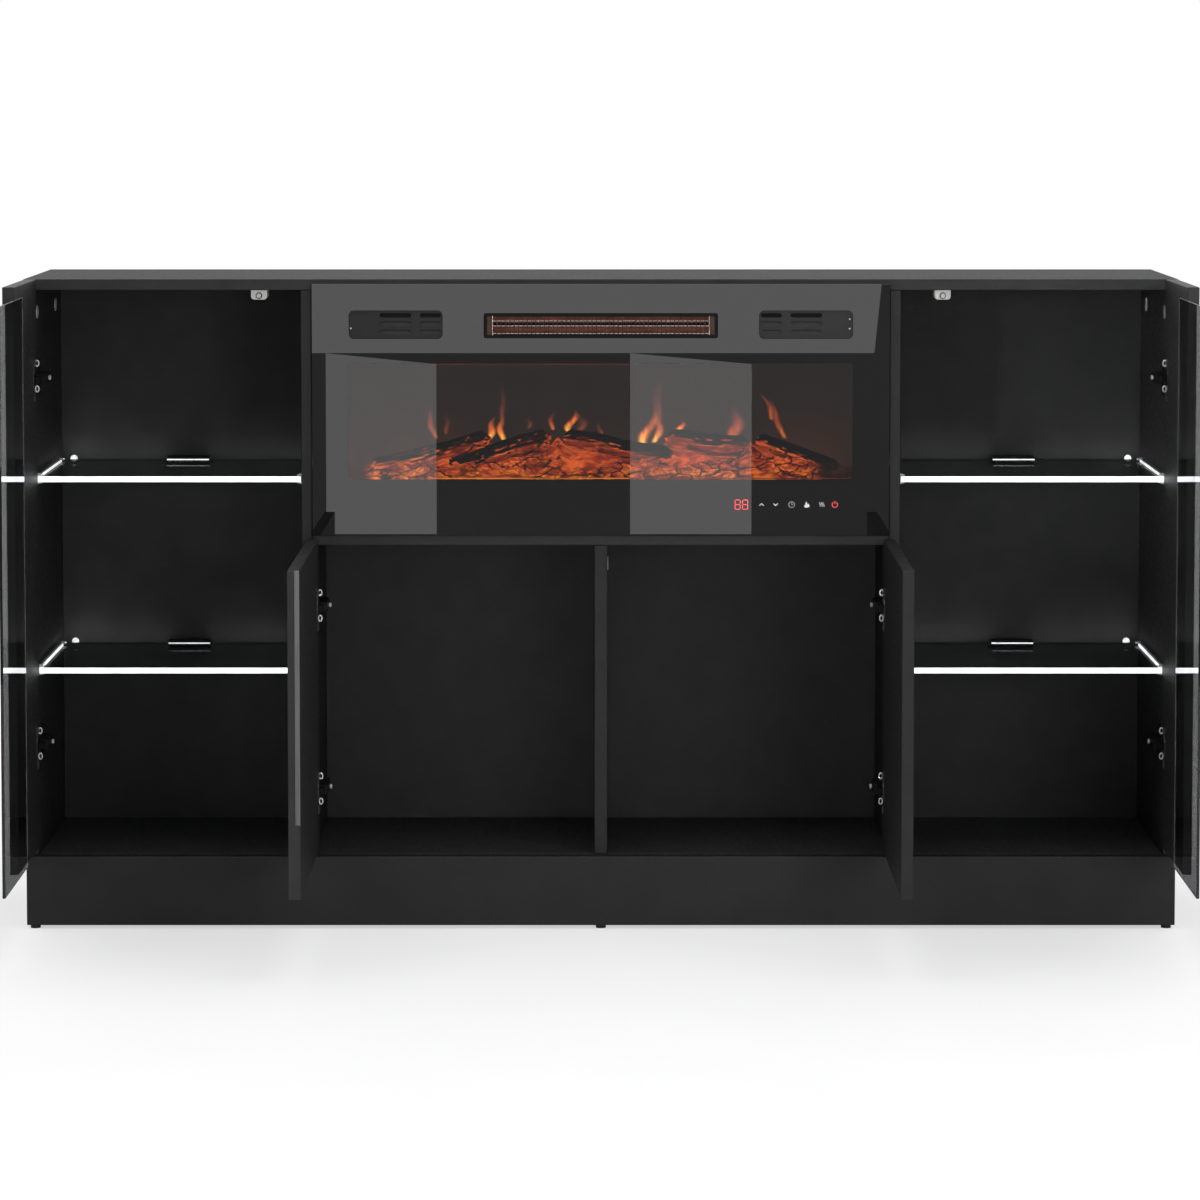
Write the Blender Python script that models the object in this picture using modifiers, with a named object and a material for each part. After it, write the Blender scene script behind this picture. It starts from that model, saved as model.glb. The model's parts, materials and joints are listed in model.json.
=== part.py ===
"""A sideboard with an electric fireplace, two tall side doors and two low centre doors, all open.

Metres, +Z up, fronts towards -Y. The origin is on the floor under the middle of the whole object.
"""

import math
from dataclasses import dataclass

import bmesh
import bpy
from mathutils import Matrix, Vector

# Cabinet
WIDTH = 1.600
BODY_HEIGHT = 0.900
BODY_DEPTH = 0.325
BOARD = 0.015
CENTRE_DIVIDER = 0.018
BACK_PANEL = 0.004
BAY_HALF_WIDTH = 0.4008
PLINTH_HEIGHT = 0.0965
PLINTH_PROUD = 0.022
FIRE_SHELF_DROP = 0.340
FOOT_HEIGHT = 0.005
FOOT_RADIUS = 0.007
FOOT_INSET = 0.011
REAR_FOOT_INSET = 0.030
GAP = 0.0003
EDGE = 0.0008
ROUND_SIDES = 16
WIDE_SIDES = 24

# Glass shelves, their clips and lamps
SHELF = 0.008
SHELF_DEPTH = 0.288
SHELF_SETBACK = 0.012
SHELF_SIDE_CLEARANCE = 0.0016
SHELF_RISES = {"lower": 0.2525, "upper": 0.5205}
CLIP_REACH = 0.007
CLIP_HEIGHT = 0.015
CLIP_LENGTH = 0.010
CLIP_INSET = 0.006
LAMP_WIDTH = 0.061
LAMP_REACH = 0.014
LAMP_BACK = 0.006
LAMP_HEIGHT = 0.018
LAMP_FROM_MIDDLE = 0.5985

# Doors
DOOR = 0.016
DOOR_GAP = 0.0041
PANE = 0.004
TALL_WOOD_WIDTH = 0.238
TALL_PANE_LAP = 0.092
TALL_DOOR_LAP = 0.0018
TALL_DOOR_RISE = 0.0125
TALL_PANE_RISE = 0.0065
TALL_PANE_DROP = 0.018
LOW_DOOR_LAP = 0.0098
LOW_DOOR_RISE = 0.0095
LOW_DOOR_TOP_GAP = 0.0048
MEETING_GAP = 0.002
GRIP_WIDTH = 0.007
GRIP_THICKNESS = 0.002
GRIP_LENGTH = 0.335

# Concealed hinges
TALL_HINGE_FROM_TOP = 0.1385
TALL_HINGE_FROM_FOOT = 0.1413
LOW_HINGE_FROM_TOP = 0.0957
LOW_HINGE_FROM_FOOT = 0.081
PIVOT_INSET = 0.009
PIVOT_DEPTH = 0.009
PIN_RADIUS = 0.001
CUP_CENTRE = 0.022
CUP_RADIUS = 0.0172
CUP_DEPTH = 0.0127
CUP_WALL = 0.001
CUP_RIM = 0.0013
CUP_LIP = 0.0012
CUP_EAR_LENGTH = 0.058
CUP_EAR_WIDTH = 0.014
CUP_SCREW_SPREAD = 0.024
CUP_SIDES = 24
ARM_SHEET = 0.0022
ARM_HALF_WIDTH = 0.004
ARM_ELBOW = 0.0133
ARM_TOP = 0.029
ARM_BOX_HALF_WIDTH = 0.0065
ARM_BOX_FRONT = 0.004
ARM_BOX_LENGTH = 0.062
KNUCKLE_WALL = 0.0011
KNUCKLE_RISE = 0.0005
PLATE = 0.002
PLATE_CENTRE = 0.037
PLATE_WIDTH = 0.018
PLATE_HEIGHT = 0.050
SCREW_RADIUS = 0.0035
SCREW_HEAD = 0.0012
SCREW_SPREAD = 0.0175
SCREW_SIDES = 8
KNUCKLE_SIDES = 12

# Push latches
LATCH_WIDTH = 0.022
LATCH_HEIGHT = 0.013
LATCH_DEPTH = 0.040
LATCH_CORNER = 0.0045
LATCH_MOUTH = 0.0046
LATCH_MOUTH_DEPTH = 0.004
LATCH_SETBACK = 0.002
LATCH_FROM_DIVIDER = 0.0577
PLUNGER_RADIUS = 0.003
PLUNGER_DROP = 0.001
PLUNGER_LENGTH = 0.028
PLUNGER_TRAVEL = 0.003
PLUNGER_DOOR_GAP = 0.0005
PLUNGER_SPACE = 0.002

# Fireplace front
FRONT_GLASS = 0.004
FRONT_FRAME = 0.002
FRAME_INSET = 0.002
FIRE_LAP_BELOW = 0.0015
FIRE_LAP_ABOVE = 0.0088
WINDOW_WIDTH = 0.698
WINDOW_HEIGHT = 0.1615
WINDOW_RISE = 0.0787
VENT_WIDTH = 0.130
VENT_HEIGHT = 0.0395
VENT_CENTRE = 0.284
VENT_DROP = 0.0565
VENT_CORNER = 0.007
VENT_PLATE = 0.0015
VENT_LAP = 0.003
SLOT_HEIGHT = 0.006
SLOT_PITCH = 0.0115
SLOT_ROWS = 3
SLOT_LIFT = 0.0012
INNER_SLOT = 0.029
OUTER_SLOT = 0.044
SLOT_SPACE = 0.012
SLOT_MARGIN = 0.0025
SLOT_ROUNDNESS = 0.49
GRILLE_WIDTH = 0.3246
GRILLE_HEIGHT = 0.0348
GRILLE_DROP = 0.0578
GRILLE_RIM = 0.004
GRILLE_CORNER = 0.003
GRILLE_BAR = 0.0012
GRILLE_PITCH = 0.006
CONTROL_CENTRE = 0.2575
CONTROL_WIDTH = 0.151
CONTROL_HEIGHT = 0.0165
CONTROL_RISE = 0.0438
DISPLAY_WIDTH = 0.026
DISPLAY_HEIGHT = 0.014
CIRCUIT_BOARD = 0.0016
CIRCUIT_MARGIN = 0.006

# Fireplace inside
CASE_SIDE_GAP = 0.0068
CASE_DEPTH = 0.200
CASE_WALL = 0.0015
CASE_HEAD_CLEARANCE = 0.0035
PLATE_UNDER_FIRE = 0.002
PLATE_OVER_FIRE = 0.002
UNDER_FIRE_DROP = 0.0102
OVER_FIRE_RISE = 0.0113
ELEMENT_RADIUS = 0.0045
ELEMENT_HALF_LENGTH = 0.150
ELEMENT_SPREAD = 0.007
ELEMENT_SETBACK = 0.022
BRACKET = 0.002
BRACKET_HALF_DEPTH = 0.008
WHEEL_RADIUS = 0.026
WHEEL_ROOT = 0.018
WHEEL_BLADES = 12
BLADE_START = 0.55
BLADE_TIP = 0.70
BLADE_TIP_END = 0.85
WHEEL_HALF_LENGTH = 0.140
WHEEL_SETBACK = 0.100
SHAFT_RADIUS = 0.003
SCROLL_CLEARANCE = 0.003
SCROLL_SHEET = 0.0015
SCROLL_START = -50
SCROLL_END = 170
SCROLL_STEPS = 14
END_PLATE = 0.002
END_PLATE_SPACE = 0.004
END_PLATE_MARGIN = 0.002
MOTOR_RADIUS = 0.022
MOTOR_LENGTH = 0.035
SCREEN = 0.003
SCREEN_FROM_BACK = 0.075
ROD_RADIUS = 0.003
ROD_FROM_BACK = 0.035
ROD_RISE = 0.043
PADDLES = 14
PADDLE_LENGTH = 0.030
PADDLE_REACH = 0.014
PADDLE_SHEET = 0.0012
ROD_MOTOR_RADIUS = 0.016
ROD_MOTOR_LENGTH = 0.025
BED_SETBACK = 0.008
BED_SCREEN_SPACE = 0.006
BED_SIDE_SPACE = 0.014
BED_HEIGHT = 0.024
BED_WAVE = 0.004
BED_RIPPLE = 61
BED_SWAY = 20
BED_SHIFT = 9
BED_COLUMNS = 24
BED_ROWS = 4
LOG_SIDES = 8
LOG_RINGS = 4
LOG_TAPER = 0.85
LOG_KNOTS = 0.10
LOG_LOBES = 3
LOG_TWIST = 9
LOG_BEND = 7
LOG_VARIETY = 40
GLAND_RADIUS = 0.009
GLAND_FLANGE_RADIUS = 0.014
GLAND_FLANGE = 0.003
GLAND_LENGTH = 0.020
GLAND_FROM_RIGHT = 0.060
GLAND_RISE = 0.030
ACCESS_WIDTH = 0.090
ACCESS_HEIGHT = 0.050

# Each log's two ends, as X, distance behind the carcass front and rise over the plate, and its radius
LOGS = (
    ((-0.325, 0.045, 0.019), (-0.165, 0.060, 0.058), 0.0145),
    ((-0.215, 0.040, 0.020), (-0.072, 0.058, 0.060), 0.0150),
    ((-0.052, 0.060, 0.060), (0.085, 0.044, 0.034), 0.0150),
    ((-0.020, 0.038, 0.018), (0.110, 0.056, 0.050), 0.0130),
    ((0.095, 0.060, 0.057), (0.225, 0.046, 0.040), 0.0150),
    ((0.130, 0.040, 0.018), (0.245, 0.056, 0.050), 0.0130),
    ((0.210, 0.060, 0.055), (0.330, 0.046, 0.020), 0.0140),
)

# Levels and planes that follow from the sizes
TOP = FOOT_HEIGHT + BODY_HEIGHT
TOP_UNDERSIDE = TOP - BOARD
PLINTH_TOP = FOOT_HEIGHT + PLINTH_HEIGHT
BOTTOM_UNDERSIDE = PLINTH_TOP - BOARD
FIRE_SHELF_TOP = TOP_UNDERSIDE - FIRE_SHELF_DROP
FIRE_SHELF_UNDERSIDE = FIRE_SHELF_TOP - BOARD
SIDE_INNER = WIDTH / 2 - BOARD
DIVIDER_OUTER = BAY_HALF_WIDTH + BOARD
LOW_DOOR_EDGE = BAY_HALF_WIDTH + LOW_DOOR_LAP
LOW_DOOR_WIDTH = LOW_DOOR_EDGE - MEETING_GAP / 2
TALL_DOOR_WIDTH = WIDTH / 2 - DIVIDER_OUTER + TALL_DOOR_LAP
DOOR_REACH = DOOR_GAP + PIVOT_DEPTH - PIVOT_INSET + max(LOW_DOOR_WIDTH, TALL_DOOR_WIDTH)
FRONT = (DOOR_REACH - BODY_DEPTH) / 2
BACK = FRONT + BODY_DEPTH
PANEL_FRONT = BACK - BACK_PANEL
INNER_BACK = PANEL_FRONT - GAP
PIVOT_Y = FRONT - DOOR_GAP - PIVOT_DEPTH

FIRE_BOTTOM = FIRE_SHELF_TOP - FIRE_LAP_BELOW
FIRE_TOP = TOP_UNDERSIDE + FIRE_LAP_ABOVE
FIRE_HALF_WIDTH = BAY_HALF_WIDTH - GAP
FRAME_BACK = FRONT - GAP
FRAME_FRONT = FRAME_BACK - FRONT_FRAME
GLASS_BACK = FRAME_FRONT - GAP
GLASS_FRONT = GLASS_BACK - FRONT_GLASS
WINDOW_LOW = FIRE_BOTTOM + WINDOW_RISE
WINDOW_HIGH = WINDOW_LOW + WINDOW_HEIGHT
VENT_LEVEL = FIRE_TOP - VENT_DROP
GRILLE_LEVEL = FIRE_TOP - GRILLE_DROP
CONTROL_LEVEL = FIRE_BOTTOM + CONTROL_RISE
CASE_WIDTH = 2 * (BAY_HALF_WIDTH - CASE_SIDE_GAP)
CASE_BOTTOM = FIRE_SHELF_TOP + GAP
CASE_TOP = TOP_UNDERSIDE - CASE_HEAD_CLEARANCE
CASE_INNER_HALF = CASE_WIDTH / 2 - CASE_WALL
CASE_INNER_BACK = FRONT + CASE_DEPTH - CASE_WALL
UNDER_FIRE_TOP = WINDOW_LOW - UNDER_FIRE_DROP
OVER_FIRE_LOW = WINDOW_HIGH + OVER_FIRE_RISE
OVER_FIRE_TOP = OVER_FIRE_LOW + PLATE_OVER_FIRE
WHEEL_LEVEL = (OVER_FIRE_TOP + CASE_TOP - CASE_WALL) / 2
SCREEN_FRONT = FRONT + CASE_DEPTH - SCREEN_FROM_BACK
ROD_Y = FRONT + CASE_DEPTH - ROD_FROM_BACK
ROD_LEVEL = UNDER_FIRE_TOP + ROD_RISE
BED_TOP = UNDER_FIRE_TOP + GAP + BED_HEIGHT

# Which way each side lies from the middle
SIDES = {"left": -1, "right": 1}

# How an outline's two coordinates and its thickness lie in the object, for each axis of the thickness
OUTLINE_FRAMES = {
    "X": Matrix(((0, 0, 1, 0), (1, 0, 0, 0), (0, 1, 0, 0), (0, 0, 0, 1))),
    "Y": Matrix.Rotation(math.radians(90), 4, "X"),
    "Z": Matrix.Identity(4),
}
AXES = {"X": Vector((1, 0, 0)), "Y": Vector((0, 1, 0)), "Z": Vector((0, 0, 1))}


@dataclass(frozen=True)
class Door:
    """A door's name and side, how far its hinge edge lies from the middle, its width and its levels."""

    name: str
    side: int
    edge: float
    width: float
    low: float
    high: float
    hinge_levels: dict

    @property
    def pivot(self):
        return Vector((self.side * (self.edge - PIVOT_INSET), PIVOT_Y, 0))

    def point(self, along, deep, level):
        """A point on the open door, by its distance from the hinge edge and from the inner face."""
        return Vector((
            self.side * (self.edge - PIVOT_INSET - PIVOT_DEPTH + deep),
            PIVOT_Y + PIVOT_INSET - along,
            level,
        ))

    def cabinet_point(self, inward, behind, level):
        """A point beside the hinge, by its distance from the hinge edge and from the carcass front."""
        return Vector((self.side * (self.edge - inward), FRONT + behind, level))


TALL_LOW = PLINTH_TOP + TALL_DOOR_RISE
LOW_LOW = PLINTH_TOP + LOW_DOOR_RISE
LOW_HIGH = FIRE_BOTTOM - LOW_DOOR_TOP_GAP
TALL_LEVELS = {"lower": TALL_LOW + TALL_HINGE_FROM_FOOT, "upper": TOP - TALL_HINGE_FROM_TOP}
LOW_LEVELS = {"lower": LOW_LOW + LOW_HINGE_FROM_FOOT, "upper": LOW_HIGH - LOW_HINGE_FROM_TOP}


def tall_door(name, side):
    return Door(f"{name}_tall_door", side, WIDTH / 2, TALL_DOOR_WIDTH, TALL_LOW, TOP, TALL_LEVELS)


def low_door(name, side):
    return Door(f"{name}_low_door", side, LOW_DOOR_EDGE, LOW_DOOR_WIDTH, LOW_LOW, LOW_HIGH, LOW_LEVELS)


def clear_scene():
    for obj in list(bpy.data.objects):
        bpy.data.objects.remove(obj, do_unlink=True)


def collection(name):
    made = bpy.data.collections.new(name)
    bpy.context.scene.collection.children.link(made)
    return made


# Finishes

def finish(name, colour, roughness, metallic=0.0, glow=0.0, transmission=0.0):
    """The named finish, made once and shared by the pieces that have it."""
    material = bpy.data.materials.get(name)
    if material:
        return material
    material = bpy.data.materials.new(name)
    material.use_nodes = True
    shader = material.node_tree.nodes["Principled BSDF"]
    shader.inputs["Base Color"].default_value = (*colour, 1)
    shader.inputs["Roughness"].default_value = roughness
    shader.inputs["Metallic"].default_value = metallic
    shader.inputs["Transmission Weight"].default_value = transmission
    shader.inputs["Emission Color"].default_value = (*colour, 1)
    shader.inputs["Emission Strength"].default_value = glow
    return material


def black_board():
    return finish("black_board", (0.012, 0.012, 0.013), 0.45)


def back_board():
    return finish("back_board", (0.010, 0.010, 0.011), 0.6)


def black_glass():
    return finish("black_glass", (0.006, 0.006, 0.007), 0.06)


def smoked_glass():
    return finish("smoked_glass", (0.18, 0.19, 0.20), 0.03, transmission=1.0)


def clear_glass():
    return finish("clear_glass", (0.80, 0.86, 0.86), 0.02, transmission=1.0)


def black_steel():
    return finish("black_steel", (0.02, 0.02, 0.02), 0.4, metallic=1.0)


def nickel_steel():
    return finish("nickel_steel", (0.55, 0.54, 0.52), 0.28, metallic=1.0)


def satin_aluminium():
    return finish("satin_aluminium", (0.42, 0.42, 0.43), 0.38, metallic=1.0)


def white_plastic():
    return finish("white_plastic", (0.80, 0.80, 0.78), 0.4)


def lamp_white():
    return finish("lamp_white", (1.0, 0.97, 0.92), 0.3, glow=2.0)


def glowing_embers():
    return finish("glowing_embers", (0.9, 0.20, 0.03), 0.8, glow=0.6)


def flame_diffuser():
    return finish("flame_diffuser", (0.30, 0.10, 0.04), 0.5)


def hot_element():
    return finish("hot_element", (0.95, 0.30, 0.15), 0.6, glow=1.0)


def circuit_green():
    return finish("circuit_green", (0.02, 0.10, 0.04), 0.5)


# Shapes

def add_box(shape, low, high):
    """A box between two opposite corners, given in any order."""
    low, high = Vector(low), Vector(high)
    size = Vector(abs(extent) for extent in high - low)
    place = Matrix.Translation((low + high) / 2) @ Matrix.Diagonal((*size, 1))
    bmesh.ops.create_cube(shape, size=1, matrix=place)


def add_rod(shape, low, high, radius, segments=ROUND_SIDES):
    """A round bar between the centres of its two end faces."""
    low, high = Vector(low), Vector(high)
    along = high - low
    turn = along.to_track_quat("Z", "Y").to_matrix().to_4x4()
    place = Matrix.Translation((low + high) / 2) @ turn
    bmesh.ops.create_cone(
        shape,
        cap_ends=True,
        segments=segments,
        radius1=radius,
        radius2=radius,
        depth=along.length,
        matrix=place,
    )


def box(low, high):
    shape = bmesh.new()
    add_box(shape, low, high)
    return shape


def rod(low, high, radius, segments=ROUND_SIDES):
    shape = bmesh.new()
    add_rod(shape, low, high, radius, segments)
    return shape


def add_outline(shape, points, low, high, axis):
    """A closed flat outline made solid from low to high along an axis.

    Its coordinates are Y and Z for axis X, X and Z for axis Y, and X and Y for axis Z.
    """
    curve = bpy.data.curves.new("outline", "CURVE")
    curve.dimensions = "2D"
    curve.fill_mode = "BOTH"
    curve.extrude = (high - low) / 2
    spline = curve.splines.new("POLY")
    spline.points.add(len(points) - 1)
    for knot, (first, second) in zip(spline.points, points):
        knot.co = (first, second, 0, 1)
    spline.use_cyclic_u = True
    holder = bpy.data.objects.new("outline", curve)
    bpy.context.scene.collection.objects.link(holder)
    graph = bpy.context.evaluated_depsgraph_get()
    mesh = bpy.data.meshes.new_from_object(holder.evaluated_get(graph))
    mesh.transform(Matrix.Translation(AXES[axis] * (low + high) / 2) @ OUTLINE_FRAMES[axis])
    part = bmesh.new()
    part.from_mesh(mesh)
    bmesh.ops.remove_doubles(part, verts=part.verts, dist=1e-6)
    bmesh.ops.recalc_face_normals(part, faces=part.faces)
    part.to_mesh(mesh)
    part.free()
    shape.from_mesh(mesh)
    bpy.data.objects.remove(holder)
    bpy.data.curves.remove(curve)
    bpy.data.meshes.remove(mesh)


def outline(points, low, high, axis):
    shape = bmesh.new()
    add_outline(shape, points, low, high, axis)
    return shape


def arc(centre, radius, start, end, steps):
    """Points on an arc, with the angles in degrees."""
    angles = [math.radians(start + (end - start) * step / steps) for step in range(steps + 1)]
    return [
        (centre[0] + radius * math.cos(angle), centre[1] + radius * math.sin(angle)) for angle in angles
    ]


def rounded(centre, width, height, radius, steps=4):
    """The outline of a rectangle with round corners."""
    points = []
    for quarter, (across, up) in enumerate(((1, 1), (-1, 1), (-1, -1), (1, -1))):
        corner = (
            centre[0] + across * (width / 2 - radius),
            centre[1] + up * (height / 2 - radius),
        )
        points += arc(corner, radius, 90 * quarter, 90 * quarter + 90, steps)
    return points


def place_object(name, shape, origin, parent, group):
    origin = Vector(origin)
    bmesh.ops.translate(shape, verts=shape.verts, vec=-origin)
    mesh = bpy.data.meshes.new(name)
    shape.to_mesh(mesh)
    shape.free()
    obj = bpy.data.objects.new(name, mesh)
    group.objects.link(obj)
    if parent:
        obj.parent = parent
    else:
        obj.location = origin
    return obj


def make(name, shape, material, origin=(0, 0, 0), parent=None, edge=0.0, smooth=False):
    """A named piece from a shape that was drawn where it lies on the object."""
    obj = place_object(name, shape, origin, parent, bpy.data.collections["fireplace_sideboard"])
    obj.data.materials.append(material)
    if smooth:
        obj.data.shade_smooth()
        obj.data.set_sharp_from_angle(angle=math.radians(35))
    if edge:
        bevel = obj.modifiers.new("Rounded edges", "BEVEL")
        bevel.width = edge
        bevel.segments = 1
        bevel.limit_method = "ANGLE"
    return obj


def combine(obj, shape, operation):
    """Joins a helper shape to the piece, or cuts it away."""
    helper_name = f"{obj.name}_{operation.lower()}_{len(obj.modifiers)}"
    origin = obj.parent.location if obj.parent else obj.location
    helper = place_object(helper_name, shape, origin, obj.parent, bpy.data.collections["cutters"])
    helper.hide_render = True
    helper.display_type = "WIRE"
    change = obj.modifiers.new(operation.title(), "BOOLEAN")
    change.operation = operation
    change.solver = "EXACT"
    change.object = helper


def cut(obj, shape):
    combine(obj, shape, "DIFFERENCE")


def join(obj, shape):
    combine(obj, shape, "UNION")


# Carcass

def board(name, low, high):
    return make(name, box(low, high), black_board(), edge=EDGE)


def make_carcass():
    half = WIDTH / 2
    board("top_board", (-half, FRONT, TOP_UNDERSIDE), (half, BACK, TOP))
    for name, side in SIDES.items():
        board(
            f"{name}_side_board",
            (side * half, FRONT, FOOT_HEIGHT),
            (side * SIDE_INNER, INNER_BACK, TOP_UNDERSIDE - GAP),
        )
        board(
            f"{name}_divider_board",
            (side * BAY_HALF_WIDTH, FRONT, PLINTH_TOP + GAP),
            (side * DIVIDER_OUTER, INNER_BACK, TOP_UNDERSIDE - GAP),
        )
    bottom_half = SIDE_INNER - GAP
    board("bottom_board", (-bottom_half, FRONT, BOTTOM_UNDERSIDE), (bottom_half, INNER_BACK, PLINTH_TOP))
    bay_half = BAY_HALF_WIDTH - GAP
    board(
        "fire_shelf_board",
        (-bay_half, FRONT, FIRE_SHELF_UNDERSIDE),
        (bay_half, INNER_BACK, FIRE_SHELF_TOP),
    )
    board(
        "centre_divider_board",
        (-CENTRE_DIVIDER / 2, FRONT, PLINTH_TOP + GAP),
        (CENTRE_DIVIDER / 2, INNER_BACK, FIRE_SHELF_UNDERSIDE - GAP),
    )


def make_plinths():
    """The two plinth boards, each with its three glides."""
    half = WIDTH / 2
    front = board(
        "front_plinth_board",
        (-half, FRONT - PLINTH_PROUD, FOOT_HEIGHT),
        (half, FRONT - GAP, PLINTH_TOP),
    )
    join(front, glides(half - FOOT_INSET, FRONT - PLINTH_PROUD / 2))
    rear_half = SIDE_INNER - GAP
    rear = board(
        "rear_plinth_board",
        (-rear_half, INNER_BACK - BOARD, FOOT_HEIGHT),
        (rear_half, INNER_BACK, BOTTOM_UNDERSIDE - GAP),
    )
    join(rear, glides(half - REAR_FOOT_INSET, INNER_BACK - BOARD / 2))


def glides(spread, y):
    """Three round glides under a plinth board, let into it by a board's edge radius."""
    shape = bmesh.new()
    for x in (-spread, 0, spread):
        add_rod(shape, (x, y, 0), (x, y, FOOT_HEIGHT + EDGE), FOOT_RADIUS, WIDE_SIDES)
    return shape


def make_back_panel():
    panel = make(
        "back_panel",
        box((-WIDTH / 2, PANEL_FRONT, BOTTOM_UNDERSIDE), (WIDTH / 2, BACK, TOP_UNDERSIDE - GAP)),
        back_board(),
    )
    access = rounded(gland_place(), ACCESS_WIDTH, ACCESS_HEIGHT, VENT_CORNER)
    cut(panel, outline(access, PANEL_FRONT - BOARD, BACK + BOARD, "Y"))


# Glass shelves

def shelf_bottom(level):
    return PLINTH_TOP + SHELF_RISES[level]


def make_glass_shelves():
    """Each glass shelf with the four clips that hold it to the boards beside it."""
    inner = DIVIDER_OUTER + SHELF_SIDE_CLEARANCE
    outer = SIDE_INNER - SHELF_SIDE_CLEARANCE
    front = FRONT + SHELF_SETBACK
    back = front + SHELF_DEPTH
    for name, side in SIDES.items():
        for level in SHELF_RISES:
            low = shelf_bottom(level)
            shelf = make(
                f"{name}_{level}_glass_shelf",
                box((side * inner, front, low), (side * outer, back, low + SHELF)),
                clear_glass(),
                edge=EDGE,
            )
            clips = bmesh.new()
            for wall, inward in ((side * SIDE_INNER, -side), (side * DIVIDER_OUTER, side)):
                for start in (front + CLIP_INSET, back - CLIP_INSET - CLIP_LENGTH):
                    end = start + CLIP_LENGTH
                    add_box(
                        clips,
                        (wall + inward * GAP, start, low + (SHELF - CLIP_HEIGHT) / 2),
                        (wall + inward * CLIP_REACH, end, low + (SHELF + CLIP_HEIGHT) / 2),
                    )
            join(shelf, clips)


def make_shelf_lamps():
    """A lamp clipped over the rear edge of each shelf."""
    glass_back = FRONT + SHELF_SETBACK + SHELF_DEPTH
    front = glass_back - LAMP_REACH
    back = glass_back + LAMP_BACK
    slot = SHELF / 2 + GAP
    rise = LAMP_HEIGHT / 2
    for name, side in SIDES.items():
        middle_x = side * LAMP_FROM_MIDDLE
        for level in SHELF_RISES:
            middle = shelf_bottom(level) + SHELF / 2
            section = [
                (front, middle - rise),
                (back, middle - rise),
                (back, middle + rise),
                (front, middle + rise),
                (front, middle + slot),
                (glass_back + GAP, middle + slot),
                (glass_back + GAP, middle - slot),
                (front, middle - slot),
            ]
            shape = outline(section, middle_x - LAMP_WIDTH / 2, middle_x + LAMP_WIDTH / 2, "X")
            make(f"{name}_{level}_shelf_lamp", shape, lamp_white())


# Doors

def pivot_empty(door):
    empty = bpy.data.objects.new(f"{door.name}_pivot", None)
    bpy.data.collections["fireplace_sideboard"].objects.link(empty)
    empty.location = door.pivot
    return empty


def cup_bores(door):
    """The round pockets for the hinge cups, from outside the inner face to under the cups' floors."""
    shape = bmesh.new()
    for level in door.hinge_levels.values():
        start = door.point(CUP_CENTRE, -DOOR, level)
        add_rod(shape, start, door.point(CUP_CENTRE, CUP_DEPTH + GAP, level), CUP_RADIUS + GAP, CUP_SIDES)
    return shape


def make_tall_door(door, pivot):
    wood = make(
        f"{door.name}_panel",
        box(door.point(0, 0, door.low), door.point(TALL_WOOD_WIDTH, DOOR, door.high)),
        black_board(),
        origin=door.pivot,
        parent=pivot,
        edge=EDGE,
    )
    pane_start = TALL_WOOD_WIDTH - TALL_PANE_LAP
    pane_low = PLINTH_TOP + TALL_PANE_RISE
    pane_high = TOP - TALL_PANE_DROP
    rebate_low = door.point(pane_start - GAP, -DOOR, pane_low - DOOR)
    rebate_high = door.point(TALL_WOOD_WIDTH + DOOR, PANE + GAP, pane_high + GAP)
    cut(wood, box(rebate_low, rebate_high))
    cut(wood, cup_bores(door))
    make(
        f"{door.name}_glass",
        box(door.point(pane_start, 0, pane_low), door.point(door.width, PANE, pane_high)),
        smoked_glass(),
        origin=door.pivot,
        parent=pivot,
        edge=EDGE / 2,
    )


def make_low_door(door, pivot):
    panel = make(
        f"{door.name}_panel",
        box(door.point(0, 0, door.low), door.point(door.width, DOOR, door.high)),
        black_board(),
        origin=door.pivot,
        parent=pivot,
        edge=EDGE,
    )
    cut(panel, cup_bores(door))
    return panel


def make_grip_strip(door, pivot, panel):
    """The metal strip along the inner half of the free edge, let in flush."""
    start = door.width - GRIP_THICKNESS
    low = door.high - GRIP_LENGTH
    rebate_low = door.point(start - GAP, -DOOR, low - GAP)
    rebate_high = door.point(door.width + DOOR, GRIP_WIDTH + GAP, door.high + DOOR)
    cut(panel, box(rebate_low, rebate_high))
    strip = box(door.point(start, 0, low), door.point(door.width, GRIP_WIDTH, door.high))
    make(
        f"{door.name}_grip_strip",
        strip,
        satin_aluminium(),
        origin=door.pivot,
        parent=pivot,
        edge=EDGE / 2,
    )


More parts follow.
